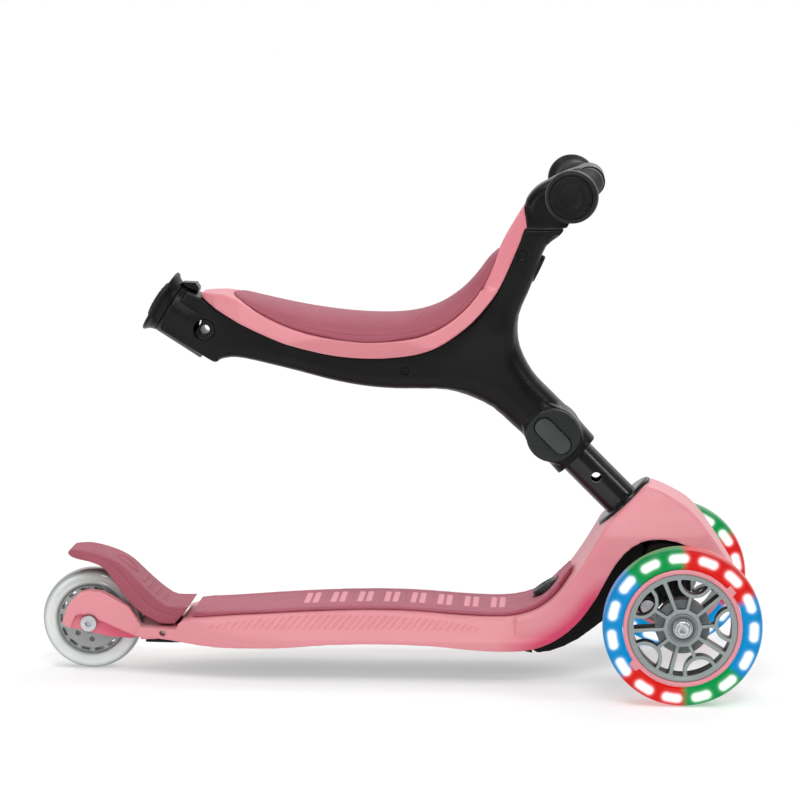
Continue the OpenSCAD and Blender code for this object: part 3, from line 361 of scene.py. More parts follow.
# sector starts, counter-clockwise from +X as seen from the rider's right
M["tyre_right"] = lit_tyre("lit_tyre_right", -TRACK, [(25, RED), (90, GREEN), (135, BLUE), (218, RED), (272, GREEN), (320, BLUE)], 93.7)
M["tyre_left"] = lit_tyre("lit_tyre_left", TRACK, [(36, GREEN), (100, BLUE), (140, GREEN), (215, BLUE), (262, RED), (300, BLUE), (330, RED)], 84.0)


def lamp_material():
    k = Mat("lamp_strip")
    flick = k.span(k.noise(400, 2), 0.3, 0.7, 0.9, 1.0)
    col = k.mix(flick, (0.9, 0.95, 1, 1), (1, 1, 1, 1))
    k.link(col, k.b.inputs["Emission Color"])
    k.b.inputs["Emission Strength"].default_value = 2.0
    return k.out(col, k.span(k.noise(200, 2), 0.3, 0.7, 0.25, 0.4), k.bump(k.noise(600, 2), 0.1, 0.0003))


M["lamp"] = lamp_material()


# ---------------------------------------------------------------- mesh helpers
def link(o):
    scene.collection.objects.link(o)
    return o


def finish_piece(o, body, mat, nodes=(), sharp=None):
    if mat is not None:
        o.data.materials.clear()
        o.data.materials.append(M[mat] if isinstance(mat, str) else mat)
    o.data.polygons.foreach_set("use_smooth", np.ones(len(o.data.polygons), bool))
    if sharp:
        o.data.set_sharp_from_angle(angle=math.radians(sharp))
    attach(o, body)
    if nodes:
        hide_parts(*nodes)
    return o


def coords(me):
    a = np.zeros(len(me.vertices) * 3)
    me.vertices.foreach_get("co", a)
    return a.reshape(-1, 3)


def set_coords(me, a):
    me.vertices.foreach_set("co", np.ascontiguousarray(a, np.float64).ravel())
    me.update()


def normals(me):
    a = np.zeros(len(me.vertices) * 3, np.float32)
    me.vertices.foreach_get("normal", a)
    return a.reshape(-1, 3).astype(float)


def applied(o):
    """The object with its modifiers applied to its mesh."""
    bpy.context.view_layer.update()
    dg = bpy.context.evaluated_depsgraph_get()
    me = bpy.data.meshes.new_from_object(o.evaluated_get(dg))
    o.modifiers.clear()
    old = o.data
    o.data = me
    bpy.data.meshes.remove(old)
    me.name = o.name
    return o


def remade(name, node, voxel, smooth=4, factor=0.5, shape=None, after=None, post=2, fill=()):
    """A finely remeshed copy of a CAD node, with moulded fillets, that shape(co, normal) may then work on."""
    nodes = [node] if isinstance(node, str) else list(node)
    me = N[nodes[0]].data.copy()
    me.materials.clear()
    o = link(bpy.data.objects.new(name, me))
    bm = bmesh.new()
    bm.from_mesh(me)
    for extra in nodes[1:]:
        if extra in N:
            bm.from_mesh(N[extra].data)
    # closed blocks, in mm, that close a thin place in the wall
    for lo, hi in fill:
        q = bmesh.ops.create_cube(bm, size=1.0)["verts"]
        for v in q:
            v.co = [(lo[i] + hi[i]) / 2 * MM + v.co[i] * (hi[i] - lo[i]) * MM for i in range(3)]
    bmesh.ops.remove_doubles(bm, verts=bm.verts, dist=2e-6)
    bm.to_mesh(me)
    bm.free()
    r = o.modifiers.new("r", "REMESH")
    r.mode = "VOXEL"
    r.voxel_size = voxel * MM
    r.use_smooth_shade = True
    if smooth:
        s = o.modifiers.new("s", "SMOOTH")
        s.factor = factor
        s.iterations = smooth
    applied(o)
    me = o.data
    if shape:
        a = coords(me)
        set_coords(me, shape(a, normals(me)))
        if post:
            s = o.modifiers.new("s", "SMOOTH")
            s.factor = 0.5
            s.iterations = post
            applied(o)
    if after:
        a = coords(o.data)
        set_coords(o.data, after(a, normals(o.data)))
    return o


def mesh_obj(name, verts, faces):
    me = bpy.data.meshes.new(name)
    me.from_pydata([tuple(v) for v in verts], [], faces)
    me.validate()
    bm = bmesh.new()
    bm.from_mesh(me)
    bmesh.ops.recalc_face_normals(bm, faces=bm.faces)
    bm.to_mesh(me)
    bm.free()
    return link(bpy.data.objects.new(name, me))


def fillet(pts, radii, n=4, closed=True):
    """Rounds the corners of an outline; radii is one number or one per point."""
    m = len(pts)
    out = []
    for i, p in enumerate(pts):
        r = radii if isinstance(radii, (int, float)) else radii[i]
        if r <= 0 or (not closed and i in (0, m - 1)):
            out.append(tuple(p))
            continue
        a, b, c = np.array(pts[i - 1], float), np.array(p, float), np.array(pts[(i + 1) % m], float)
        u, v = a - b, c - b
        lu, lv = np.linalg.norm(u), np.linalg.norm(v)
        d = min(r, lu * 0.48, lv * 0.48)
        s, e = b + u / lu * d, b + v / lv * d
        for k in range(n + 1):
            t = k / n
            out.append(tuple((1 - t) ** 2 * s + 2 * t * (1 - t) * b + t * t * e))
    return out


def axis_frame(d):
    d = np.array(d, float)
    d /= np.linalg.norm(d)
    h = np.array((0, 1.0, 0)) if abs(d[1]) < 0.9 else np.array((1.0, 0, 0))
    u = np.cross(h, d)
    u /= np.linalg.norm(u)
    return d, u, np.cross(d, u)


def lathe(name, profile, origin, direction, n=96, mod=None):
    """Revolves a closed profile of (radius, along) in mm about an axis. Points on the axis become poles."""
    d, u, v = axis_frame(direction)
    o = np.array(origin, float)
    verts, rows = [], []
    for (r, h) in profile:
        if r < 1e-6:
            rows.append([len(verts)])
            verts.append((o + d * h) * MM)
        else:
            row = []
            for k in range(n):
                a = 2 * math.pi * k / n
                rr, hh = mod(r, h, a) if mod else (r, h)
                row.append(len(verts))
                verts.append((o + d * hh + (u * math.cos(a) + v * math.sin(a)) * rr) * MM)
            rows.append(row)
    faces = []
    m = len(rows)
    for i in range(m):
        a, b = rows[i], rows[(i + 1) % m]
        if len(a) == 1 and len(b) == 1:
            continue
        for k in range(n):
            k2 = (k + 1) % n
            if len(a) == 1:
                faces.append((a[0], b[k], b[k2]))
            elif len(b) == 1:
                faces.append((a[k], b[0], a[k2]))
            else:
                faces.append((a[k], b[k], b[k2], a[k2]))
    return mesh_obj(name, verts, faces)


def joined(name, objs):
    """Several meshes as one object, keeping their materials."""
    bm = bmesh.new()
    mats = []
    for o in objs:
        start = len(bm.faces)
        bm.from_mesh(o.data)
        bm.faces.ensure_lookup_table()
        for i in range(start, len(bm.faces)):
            f = bm.faces[i]
            m = o.data.materials[f.material_index] if len(o.data.materials) else None
            if m not in mats:
                mats.append(m)
            f.material_index = mats.index(m)
    me = bpy.data.meshes.new(name)
    bm.to_mesh(me)
    bm.free()
    for m in mats:
        if m:
            me.materials.append(m)
    for o in objs:
        old = o.data
        bpy.data.objects.remove(o)
        bpy.data.meshes.remove(old)
    return link(bpy.data.objects.new(name, me))


def smooth_curve(pts, n=6):
    """Catmull-Rom through given points."""
    p = [np.array(q, float) for q in pts]
    out = []
    for i in range(len(p) - 1):
        a, b, c, d = p[max(i - 1, 0)], p[i], p[i + 1], p[min(i + 2, len(p) - 1)]
        for k in range(n):
            t = k / n
            out.append(0.5 * (2 * b + (c - a) * t + (2 * a - 5 * b + 4 * c - d) * t * t + (3 * b - a - 3 * c + d) * t ** 3))
    out.append(p[-1])
    return np.array(out)


def line_distance(xz, line, closed=False):
    """Distance in mm from each point (mm) to a polyline, the nearest point on it and how far along it lies."""
    line = np.asarray(line, float)
    if closed:
        line = np.vstack([line, line[:1]])
    best = np.full(len(xz), 1e9)
    near = np.zeros_like(xz)
    along = np.zeros(len(xz))
    run = 0.0
    for a, b in zip(line[:-1], line[1:]):
        d = b - a
        L = np.linalg.norm(d)
        if L < 1e-9:
            continue
        t = np.clip(((xz - a) @ d) / (L * L), 0, 1)
        q = a + t[:, None] * d
        e = np.linalg.norm(xz - q, axis=1)
        m = e < best
        best[m] = e[m]
        near[m] = q[m]
        along[m] = run + t[m] * L
        run += L
    return best, near, along


def step(x, a, b):
    t = np.clip((x - a) / (b - a), 0, 1)
    return t * t * (3 - 2 * t)


def rounded_sides(outlines, half, R, zone=None):
    """Returns a shape() that gives an extruded side-view solid edges of radius R (mm) where its faces |y| = half meet its rim."""
    def f(co, nrm):
        a = co * 1000
        xz = a[:, [0, 2]]
        d = np.full(len(xz), 1e9)
        q = np.zeros_like(xz)
        for line in outlines:
            e, w, _ = line_distance(xz, line)
            m = e < d
            d[m] = e[m]
            q[m] = w[m]
        y = np.abs(a[:, 1])
        m = (d < R) & (y > half - R) & (y < half + 0.8)
        w8 = np.ones(len(a)) if zone is None else zone(a).astype(float)
        m &= w8 > 0
        v = np.stack([R - d, y - (half - R)], 1)
        L = np.maximum(np.linalg.norm(v, axis=1), 1e-6)
        k = np.where(L > 0, R / L, 1)
        nd = R - v[:, 0] * k
        ny = half - R + v[:, 1] * k
        inward = xz - q
        n2 = np.linalg.norm(inward, axis=1)
        # on the rim itself the inward direction comes from the vertex normal
        back = -nrm[:, [0, 2]]
        bl = np.maximum(np.linalg.norm(back, axis=1), 1e-6)
        inward = np.where((n2 > 0.25)[:, None], inward / np.maximum(n2, 1e-6)[:, None], back / bl[:, None])
        move = (nd - d)[:, None] * inward
        ok = m & (bl > 0.0)
        a[ok, 0] += move[ok, 0] * w8[ok]
        a[ok, 2] += move[ok, 1] * w8[ok]
        a[ok, 1] = np.sign(a[ok, 1]) * (y[ok] + (ny[ok] - y[ok]) * w8[ok])
        return a / 1000
    return f


def float_attr(o, name, values):
    at = o.data.attributes.get(name) or o.data.attributes.new(name, "FLOAT", "POINT")
    at.data.foreach_set("value", np.ascontiguousarray(values, np.float32))

# ---------------------------------------------------------------- shared lines of the design (mm)
HUB = (123.05, 191.45)
DECK_BOTTOM_FRONT = [(95, 26.5), (115, 30), (132, 39), (146, 52), (158, 69), (166, 84), (174, 97)]


def stem(s):
    return (177.5 - 0.70711 * s, 0, 137 + 0.70711 * s)


S45 = math.sqrt(0.5)
STEM_DIR = (-S45, 0, S45)

# ---------------------------------------------------------------- floor
fl = mesh_obj("floor", [(-6, -6, 0), (6, -6, 0), (6, 8, 0), (-6, 8, 0)], [(0, 1, 2, 3)])
fm = Mat("floor")
# white paper sweep: it reflects near the object and turns into an evenly lit backdrop further away
fx_, fy_, fz_ = fm.xyz()
far = fm.span(fy_, 0.15, 1.3, 0, 1)
tone = fm.math("MULTIPLY", fm.span(fm.noise(1.3, 3), 0.3, 0.7, 0.60, 0.62), fm.math("SUBTRACT", 1.0, far))
col = fm.n("ShaderNodeCombineColor")
for i in range(3):
    fm.link(tone, col.inputs[i])
fm.b.inputs["Emission Color"].default_value = (1, 1, 1, 1)
fm.link(fm.math("ADD", fm.math("MULTIPLY", far, 0.62), 0.40), fm.b.inputs["Emission Strength"])
fm.out(col.outputs[0], fm.span(fm.noise(30, 4), 0.3, 0.7, 0.75, 0.9), fm.bump(fm.noise(600, 3), 0.04, 0.0004), Specular_IOR_Level=0.0)
fl.data.materials.append(fm.m)

# ---------------------------------------------------------------- deck moulding
def hatch(a, nrm):
    x, y, z = a.T
    side = step(np.abs(nrm[:, 1]), 0.25, 0.5) * (np.abs(y) > 38) * (nrm[:, 1] * y > 0)
    lo = np.interp(x, [-150, -110, -60, 0, 40, 66], [40.6, 40.8, 41.2, 41.6, 41.4, 41.0])
    hi = np.interp(x, [-150, -144, -103, -59, 2, 36, 60, 67], [41.0, 43.6, 48.6, 51.8, 51.2, 48.8, 45.4, 43.6])
    inside = step(z - lo, 0.0, 0.7) * step(hi - z, 0.0, 0.7) * (x > -150) * (x < 67)
    ph = ((x - (z - 42) * 0.95) / 5.6) % 1.0
    return side * inside, ph


def deck_detail(co, nrm):
    a = co * 1000
    w, ph = hatch(a, nrm)
    a -= nrm * (0.7 * w * step(0.17 - np.abs(ph - 0.5), -0.06, 0.05))[:, None]
    return a / 1000


DECK_BOTTOM = [(-206, 31), (-175, 29), (-140, 26), (-90, 27), (-50, 30), (-10, 31), (30, 30), (65, 27), (95, 26.5), (115, 30), (132, 39), (146, 52), (158, 69)]
ARCH = [(158, 69), (166, 84), (174, 97), (185, 108), (200, 114), (220, 112), (238, 104), (252, 94), (262, 85), (266, 86)]


def relax(o, weight, iterations, factor=0.5):
    """Smooths a mesh by a weight per vertex, so that chosen regions get large moulded radii."""
    g = o.vertex_groups.new(name="w")
    q = np.round(np.clip(weight, 0, 1) * 12).astype(int)
    for k in range(1, 13):
        idx = np.nonzero(q == k)[0]
        if len(idx):
            g.add([int(i) for i in idx], k / 12, "REPLACE")
    s = o.modifiers.new("s", "SMOOTH")
    s.factor = factor
    s.iterations = iterations
    s.vertex_group = "w"
    applied(o)
    o.vertex_groups.clear()
    return o


SHELL_NODES = [n for n in ("deck_shell", "fork_shoulders") if n in N]
shell = remade("deck_moulding", SHELL_NODES, 0.9, smooth=5, fill=[((95.3, 43.5, 37), (98.5, 51.4, 52)), ((95.3, -51.4, 37), (98.5, -43.5, 52))])
a = coords(shell.data) * 1000
db, _, _ = line_distance(a[:, [0, 2]], smooth_curve(DECK_BOTTOM, 3))
da, _, _ = line_distance(a[:, [0, 2]], smooth_curve(ARCH, 3))
edge = np.clip((np.minimum(db, da) - 2.5) / 7, 0, 1)
to_stem = np.hypot(a[:, 1], ((a[:, 0] - 177.5) + (a[:, 2] - 137)) * S45)
ring = np.clip((to_stem - 22) / 6, 0, 1)
body = np.where(a[:, 0] < -150, 0.15, 1.0) * np.where((np.abs(a[:, 1]) < 36) & (a[:, 0] < 108), 0.3, 1.0)
body = body * (1 - 0.92 * np.exp(-((a[:, 0] - 94) / 8) ** 2 - ((a[:, 2] - 41) / 9) ** 2))
lockd = np.linalg.norm(a - np.array((121.5, 0, 63)), axis=1)
relax(shell, edge * ring * body * np.clip((lockd - 15) / 6, 0, 1), 55)
a = coords(shell.data)
set_coords(shell.data, deck_detail(a, normals(shell.data)))
a = coords(shell.data) * 1000
# painted shade: the 'deep' attribute darkens the pink to hot pink along the neck's lower front edge (w1), over the
# neck, in the rear arm recess and in the hatch grooves
band = [(88, 26), (104, 27), (118, 31), (133, 40), (146, 52), (158, 69), (164, 80)]
d1, _, run = line_distance(a[:, [0, 2]], smooth_curve(band, 4))
core_w = np.clip(1 - np.maximum(d1 - 4, 0) / 13.0, 0, 1) ** 1.3
w1 = core_w * step(a[:, 0], 72, 122) * (1 - step(a[:, 2], 62, 96)) * (np.abs(a[:, 1]) > 34)
neck_shade_wash = 0.13 * step(a[:, 0], 110, 140) * (1 - step(a[:, 0] + 0.7 * a[:, 2], 232, 262)) * (a[:, 2] > 40)
w1 = np.maximum(w1, neck_shade_wash)
nrm_y = np.abs(normals(shell.data)[:, 1])
# top edge of the rear arm recess; painted shade darkens the pink below it
hot = np.array([(-257, 35), (-252, 47), (-248.5, 49), (-240, 46.6), (-228.4, 41.4), (-215.5, 35.2), (-200.7, 30.2), (-190, 26.6)])
top_edge = np.interp(a[:, 0], hot[:, 0], hot[:, 1])
below = top_edge - a[:, 2]
recess_shade = (a[:, 0] < -189) * (a[:, 0] > -257) * (np.abs(a[:, 1]) > 22) * step(below, -0.4, 1.6) * np.interp(a[:, 0], [-257, -246, -225, -190], [0.25, 0.6, 0.75, 0.9])
recess_shade = recess_shade * (1 - 0.35 * step(below, 6, 14))
hw, hph = hatch(a, normals(shell.data))
groove_shade = hw * step(0.2 - np.abs(hph - 0.5), -0.06, 0.05)
float_attr(shell, "deep", np.clip(w1 + recess_shade + 0.14 * groove_shade, 0, 1))
finish_piece(shell, "deck", "pink", SHELL_NODES)

base = remade("deck_chassis", "deck_base", 1.0, smooth=5)
finish_piece(base, "deck", "black_dull", ["deck_base"])
brk = remade("pivot_casting", "pivot_bracket", 0.8, smooth=4)
finish_piece(brk, "deck", "black", ["pivot_bracket"])

# standing mat with raised paler pads in place of lettering
PADS = [(-140 + 21 * i + 10.5) for i in range(3, 11)]


def mat_detail(co, nrm):
    a = co * 1000
    x, y, z = a.T
    upf = step(nrm[:, 2], 0.5, 0.8)
    h = np.zeros(len(a))
    for px in PADS:
        for off in (-3.4, 3.4):
            d = np.hypot(np.maximum(np.abs(y) - 19, 0), x - px - off)
            h = np.maximum(h, 1 - step(d, 1.7, 2.5))
    rim = step(np.abs(y), 29.0, 30.0) * (1 - step(np.abs(y), 31.2, 32.2))
    a += nrm * (upf * (0.55 * h - 0.35 * rim * (x < 104) * (x > -152)) + 0.3 * (1 - step(nrm[:, 2], 0.3, 0.7)))[:, None]
    return a / 1000


mat = remade("standing_mat", "deck_mat", 0.75, smooth=3, after=mat_detail)
a = coords(mat.data) * 1000
h = np.zeros(len(a))
for px in PADS:
    for off in (-3.4, 3.4):
        d = np.hypot(np.maximum(np.abs(a[:, 1]) - 19, 0), a[:, 0] - px - off)
        h = np.maximum(h, 1 - step(d, 1.9, 2.4))
nz = normals(mat.data)[:, 2]
float_attr(mat, "deep", h * step(nz, 0.4, 0.7))
M["mat"] = plastic("standing_mat", (170, 90, 107), 0.66, vary=0.05, grain=2100, bump=0.30, edge_wear_and_sheen=0.3, wear_and_sheen_colour=(204, 134, 148), pores=0.4, deep=(226, 150, 162))
finish_piece(mat, "deck", "mat", ["deck_mat"])

# ---------------------------------------------------------------- rear brake fender
FENDER_RIBS = [(-239, 93.8), (-231, 91.4), (-200, 68), (-194.5, 62.2), (-189, 57), (-183.6, 52.8)]


FENDER_DZ = 0.0 if "fork_shoulders" in N else 3.0


def fender_detail(co, nrm):
    a = co * 1000
    x, y, z = a.T
    z = z - FENDER_DZ
    upf = step(nrm[:, 2] - nrm[:, 0] * 0.2, 0.3, 0.6)
    # oval ring moulded on the slope
    s = ((x + 213.5) * 0.72 - (z - 81.2) * 0.69)
    e = np.hypot(s / 9.6, y / 9.0)
    ring = np.clip(1 - np.abs(e - 1) / 0.13, 0, 1)
    near = (x > -228) * (x < -201)
    h = 0.9 * ring * near
    # a shallow pocket inside it
    h = h - 0.5 * (1 - step(e, 0.78, 0.9)) * near
    # short grip ribs across the plate
    for rx_, rz_ in FENDER_RIBS:
        d = np.hypot(x - rx_, z - rz_)
        h = np.maximum(h, 1.25 * np.clip(1 - d / 1.9, 0, 1) * (1 - step(np.abs(y), 12.5, 14)))
    # raised border inside the edge of the plate
    half = np.interp(x, [-262, -258, -245, -220, -200, -180, -160], [8, 17, 22, 23, 25.6, 28.2, 28.2])
    rim = np.clip(1 - np.abs(np.abs(y) - (half - 3.4)) / 0.8, 0, 1)
    h = h - 0.35 * rim * (x < -166)
    a += nrm * (upf * h)[:, None]
    # crease along the skirt
    d, _, _ = line_distance(np.stack([x, z], 1), [(-240, 90), (-228, 86), (-216, 76), (-206, 64), (-197, 54), (-188, 47.5), (-176, 44.5)])
    sd = step(np.abs(nrm[:, 1]), 0.5, 0.8)
    a -= nrm * (sd * 0.55 * np.clip(1 - d / 1.2, 0, 1))[:, None]
    return a / 1000


fen = remade("brake_fender_skin", "brake_fender", 0.6, smooth=6, after=fender_detail)
finish_piece(fen, "brake", "mauve", ["brake_fender"])

# ---------------------------------------------------------------- wheels
def tyre_profile(r, w, ri, detail=False):
    """Closed (radius, along) outline: soft square shoulders, a crowned tread and a bead at the hub side."""
    h = w / 2
    pts = [(ri, -h + 3.2), (ri, h - 3.2), (ri + 1.2, h - 0.6), (ri + 3.0, h - 0.15), (ri + 4.0, h - 0.7), (ri + 5.2, h - 0.55)]
    n = 15 if detail else 9
    for i in range(n):
        t = i / (n - 1)
        ang = math.radians(84 - 168 * t)
        rr = r - 7.0 + 7.0 * max(math.cos(ang), 0) ** 0.62
        pts.append((min(rr, r), (h - 0.25) * math.copysign(abs(math.sin(ang)) ** 0.72, math.sin(ang))))
    pts += [(ri + 5.2, -h + 0.55), (ri + 4.0, -h + 0.7), (ri + 3.0, -h + 0.15), (ri + 1.2, -h + 0.6)]
    return pts


def front_tyre(side, name, node, mat_key, lamp0):
    h = 12.0
    face = [(45.05, 8.6), (46.2, 11.3), (47.4, 11.85), (48.4, 11.3), (49.4, 11.35)]
    face += [(49.4 + 0.5 * k, 11.4 + 0.012 * k) for k in range(1, 13)]
    crown = []
    for i in range(0, 19):
        t = math.radians(90 - 180 * i / 18)
        crown.append((55.6 + 4.4 * max(math.cos(t), 0) ** 0.7, 11.5 * math.copysign(abs(math.sin(t)) ** 0.6, math.sin(t))))
    prof = face + crown + [(r, -y) for r, y in reversed(face)]

    def mod(r, hh, a):
        if abs(hh) > 10.5 and r < 57:
            # angle as seen from the rider's right, from +X towards +Z
            ang = math.degrees(a)
            q = ((ang - lamp0) / 24.0 + 30.5) % 1.0 - 0.5
            along = max(abs(q) * math.radians(24) * 53.2 - 4.6, 0)
            e = math.hypot(along, r - 53.2)
            t = min(max((3.6 - e) / 1.6, 0), 1)
            return r, hh + math.copysign(0.38 * t * t * (3 - 2 * t), hh)
        return r, hh
    o = tyre_about_y(name, prof, side * TRACK * 1000, FX * 1000, FZ * 1000, 240, mod)
    return finish_piece(o, "left_wheel" if side > 0 else "right_wheel", mat_key, [node], sharp=50)


def tyre_about_y(name, profile, cy, cx, cz, n, mod=None):
    """Lathe about the Y axis whose angle runs from +X towards +Z."""
    verts, faces = [], []
    m = len(profile)
    for (r, h) in profile:
        for k in range(n):
            a = 2 * math.pi * k / n
            rr, hh = mod(r, h, a) if mod else (r, h)
            verts.append(((cx + rr * math.cos(a)) * MM, (cy + hh) * MM, (cz + rr * math.sin(a)) * MM))
    for i in range(m):
        for k in range(n):
            a, b = i * n, ((i + 1) % m) * n
            faces.append((a + k, b + k, b + (k + 1) % n, a + (k + 1) % n))
    return mesh_obj(name, verts, faces)


front_tyre(-1, "right_tyre_skin", "right_tyre", "tyre_right", 93.7)
front_tyre(1, "left_tyre_skin", "left_tyre", "tyre_left", 84.0)
rt = tyre_about_y("rear_tyre_skin", fillet(tyre_profile(40, 24, 27), 0.5, 2), 0, RX * 1000, RZ * 1000, 192)
finish_piece(rt, "rear_wheel", "clear", ["rear_tyre"], sharp=50)


def blocks(name, parts, voxel, smooth):
    """One moulding from overlapping closed solids, fused and softened by a voxel remesh. Each part is (verts in mm, faces)."""
    verts, faces = [], []
    for v, f in parts:
        k = len(verts)
        verts += [tuple(np.array(p) * MM) for p in v]
        faces += [tuple(i + k for i in q) for q in f]
    me = bpy.data.meshes.new(name)
    me.from_pydata(verts, [], faces)
    bm = bmesh.new()
    bm.from_mesh(me)
    bmesh.ops.recalc_face_normals(bm, faces=bm.faces)
    bm.to_mesh(me)
    bm.free()
    o = link(bpy.data.objects.new(name, me))
    r = o.modifiers.new("r", "REMESH")
    r.mode = "VOXEL"
    r.voxel_size = voxel * MM * 1
    s = o.modifiers.new("s", "SMOOTH")
    s.factor = 0.5
    s.iterations = smooth
    return applied(o)


def ring_part(place, ro, ri, h0, h1, n=96, a0=0.0, a1=360.0, cx=0.0, cy=0.0, twist=0.0):
    """A ring, or an arc of one, as a closed solid. place(u, v, h) gives the point in mm."""
    full = abs(a1 - a0) >= 359.9
    m = n if full else n + 1
    v, f = [], []
    for k in range(m):
        t = math.radians(a0 + (a1 - a0) * k / n + twist)
        for r, h in ((ro, h0), (ro, h1), (ri, h1), (ri, h0)):
            v.append(place(cx + r * math.cos(t), cy + r * math.sin(t), h))
    for k in range(n):
        a, b = k * 4, ((k + 1) % m) * 4
        for i in range(4):
            f.append((a + i, b + i, b + (i + 1) % 4, a + (i + 1) % 4))
    if not full:
        f += [(0, 1, 2, 3), tuple((m - 1) * 4 + i for i in (3, 2, 1, 0))]
    return v, f


def bar_part(place, angle, r0, r1, off, w, h0, h1, w1=None):
    """A straight spoke along a radius at an angle, shifted sideways by off; w1 is its width at the rim."""
    c, s = math.cos(math.radians(angle)), math.sin(math.radians(angle))
    w1 = w if w1 is None else w1
    v = []
    for h in (h0, h1):
        for r, ww in ((r0, w), (r1, w1)):
            for e in (-1, 1):
                y = off + e * ww / 2
                v.append(place(r * c - y * s, r * s + y * c, h))
    return v, [(0, 1, 3, 2), (4, 6, 7, 5), (0, 2, 6, 4), (1, 5, 7, 3), (0, 4, 5, 1), (2, 3, 7, 6)]


def front_hub(side, w):
    place = lambda u, v, h: (FX * 1000 + u, side * (TRACK * 1000 + h), FZ * 1000 + v)
    P = [ring_part(place, 41.1, 36.7, -10, 9.6), ring_part(place, 41.1, 38.6, 9.0, 10.3), ring_part(place, 20.6, 11.05, -9.5, 3.4),
         ring_part(place, 14.9, 11.05, -10.5, 10.2, n=10, twist=4), ring_part(place, 13.4, 11.05, 9.8, 11.0)]
    sg = -side
    for i in range(5):
        a = 90 + sg * (-50 + 72 * i)
        P.append(bar_part(place, a, 12.6, 38.0, 0, 2.5, 5.2, 9.4, 3.0))
        P.append(bar_part(place, a, 12.6, 38.0, 0, 2.2, -9.5, -5.0, 2.6))
        P.append(bar_part(place, a, 12.6, 38.0, 0, 1.5, -8, 8, 1.6))
        b = 90 + sg * (-86 + 72 * i)
        P.append(bar_part(place, b, 12.6, 24.6, 0, 2.5, -3.5, 9.4))
        cu, cv = 36.9 * math.cos(math.radians(b)), 36.9 * math.sin(math.radians(b))
        P.append(ring_part(place, 13.1, 10.5, -3.5, 9.4, n=40, a0=b + 180 - 92, a1=b + 180 + 92, cx=cu, cy=cv))
    o = blocks(w + "_spoked_hub", P, 0.40, 5)
    a = coords(o.data) * 1000
    h = side * a[:, 1] - TRACK * 1000
    rr = np.hypot(a[:, 0] - FX * 1000, a[:, 2] - FZ * 1000)
    # painted shade: all but the outer faces of the hub go near black through 'deep', and the barrel recess part way
    dark = (1 - step(np.abs(h), 8.0, 8.9)) * (rr < 40.2)
    barrel_shade = (rr > 14.4) * (rr < 21.4) * (h > 1.2) * (h < 5)
    float_attr(o, "deep", np.where(barrel_shade, 0.38, dark * 0.93))
    return finish_piece(o, w + "_wheel", "grey", [w + "_hub"])


def front_ring(side, w):
    prof = fillet([(41.2, -11.8), (44.4, -11.8), (44.6, -9.6), (44.6, 9.4), (44.7, 11.2), (43.9, 12.1), (42.4, 12.1), (41.2, 11.2)], [0.3, 0.3, 0.2, 0.2, 0.4, 0.5, 0.5, 0.4], 3)
    ang = (39.0, 218.5) if side < 0 else (141.0, 321.5)

    def mod(r, h, a):
        if h > 9.0 and r > 43.6:
            d = min(abs((math.degrees(a) - t + 180) % 360 - 180) for t in ang)
            k = 1 - float(step(np.array(d), 4.3, 5.0))
            return r + 3.6 * k, h + (0.25 * k if h > 11 else 0)
        return r, h
    o = tyre_about_y(w + "_trim_ring", [(r, side * h) for r, h in prof], side * TRACK * 1000, FX * 1000, FZ * 1000, 360,
                     lambda r, h, a: (lambda q: (q[0], side * q[1]))(mod(r, side * h, a)))
    return finish_piece(o, w + "_wheel", "pink_ring", [w + "_snap_ring"], sharp=40)


def hex_bolt(name, node, body, centre, out, head_r, head_h, socket_r, shaft):
    """Bolt with a stepped button head and a hexagonal socket. centre is the underside of the head, out points away from the object."""
    hexr = lambda a: socket_r * math.cos(math.pi / 6) / math.cos((a % (math.pi / 3)) - math.pi / 6)
    prof = [(0, -shaft), (3.6, -shaft), (4.0, -shaft + 0.5), (4.0, -0.1), (head_r * 1.0, 0), (head_r, head_h * 0.3), (head_r * 0.985, head_h * 0.5), (head_r * 0.90, head_h * 0.62),
            (head_r * 0.80, head_h * 0.66), (head_r * 0.74, head_h * 0.86), (head_r * 0.66, head_h * 0.97), (socket_r * 1.12, head_h), (socket_r, head_h * 0.96), (socket_r * 0.985, head_h * 0.35), (socket_r * 0.5, head_h * 0.30), (0, head_h * 0.18)]

    def mod(r, h, a):
        if h > 0 and 0 < r <= socket_r + 1e-6:
            return (hexr(a) if r > socket_r * 0.9 else r), h
        return r, h
    o = lathe(name, prof, centre, out, 96, mod)
    return o


for side, w in ((-1, "right"), (1, "left")):
    front_hub(side, w)
    front_ring(side, w)
    b = hex_bolt(w + "_axle_screw", None, None, (FX * 1000, side * 125.2, FZ * 1000), (0, side, 0), 6.4, 4.8, 2.7, 59)
    nut = lathe(w + "_axle_nut", fillet([(4.05, -2.1), (6.0, -2.1), (6.4, -1.7), (6.4, 1.7), (6.0, 2.1), (4.05, 2.1)], 0.3, 2), (FX * 1000, side * 97.3, FZ * 1000), (0, side, 0), 48,
                lambda r, h, a: (r * (1.0 if r < 5 else 0.94 * math.cos(math.pi / 6) / math.cos((a % (math.pi / 3)) - math.pi / 6) + 0.06), h))
    o = joined(w + "_axle_fastener", [b, nut])
    finish_piece(o, "truck", "steel", [w + "_axle_bolt"], sharp=35)
o = remade("rear_slotted_hub", "rear_hub", 0.42, smooth=3)
finish_piece(o, "rear_wheel", "grey2", ["rear_hub"])
o = remade("axle_carrier", "truck_beam", 0.8, smooth=5)
finish_piece(o, "truck", "black_dull", ["truck_beam"])

# ---------------------------------------------------------------- head and stem
def tongue(r, h, a):
    # longer towards the front (down the hood) and slightly to the rear
    c = math.cos(a)
    k = max(r - 15, 0) / 8
    return r + k * (3.4 * max(c, 0) ** 5 + 1.6 * max(-c, 0) ** 5), h - 0.9 * k * max(c, 0) ** 5


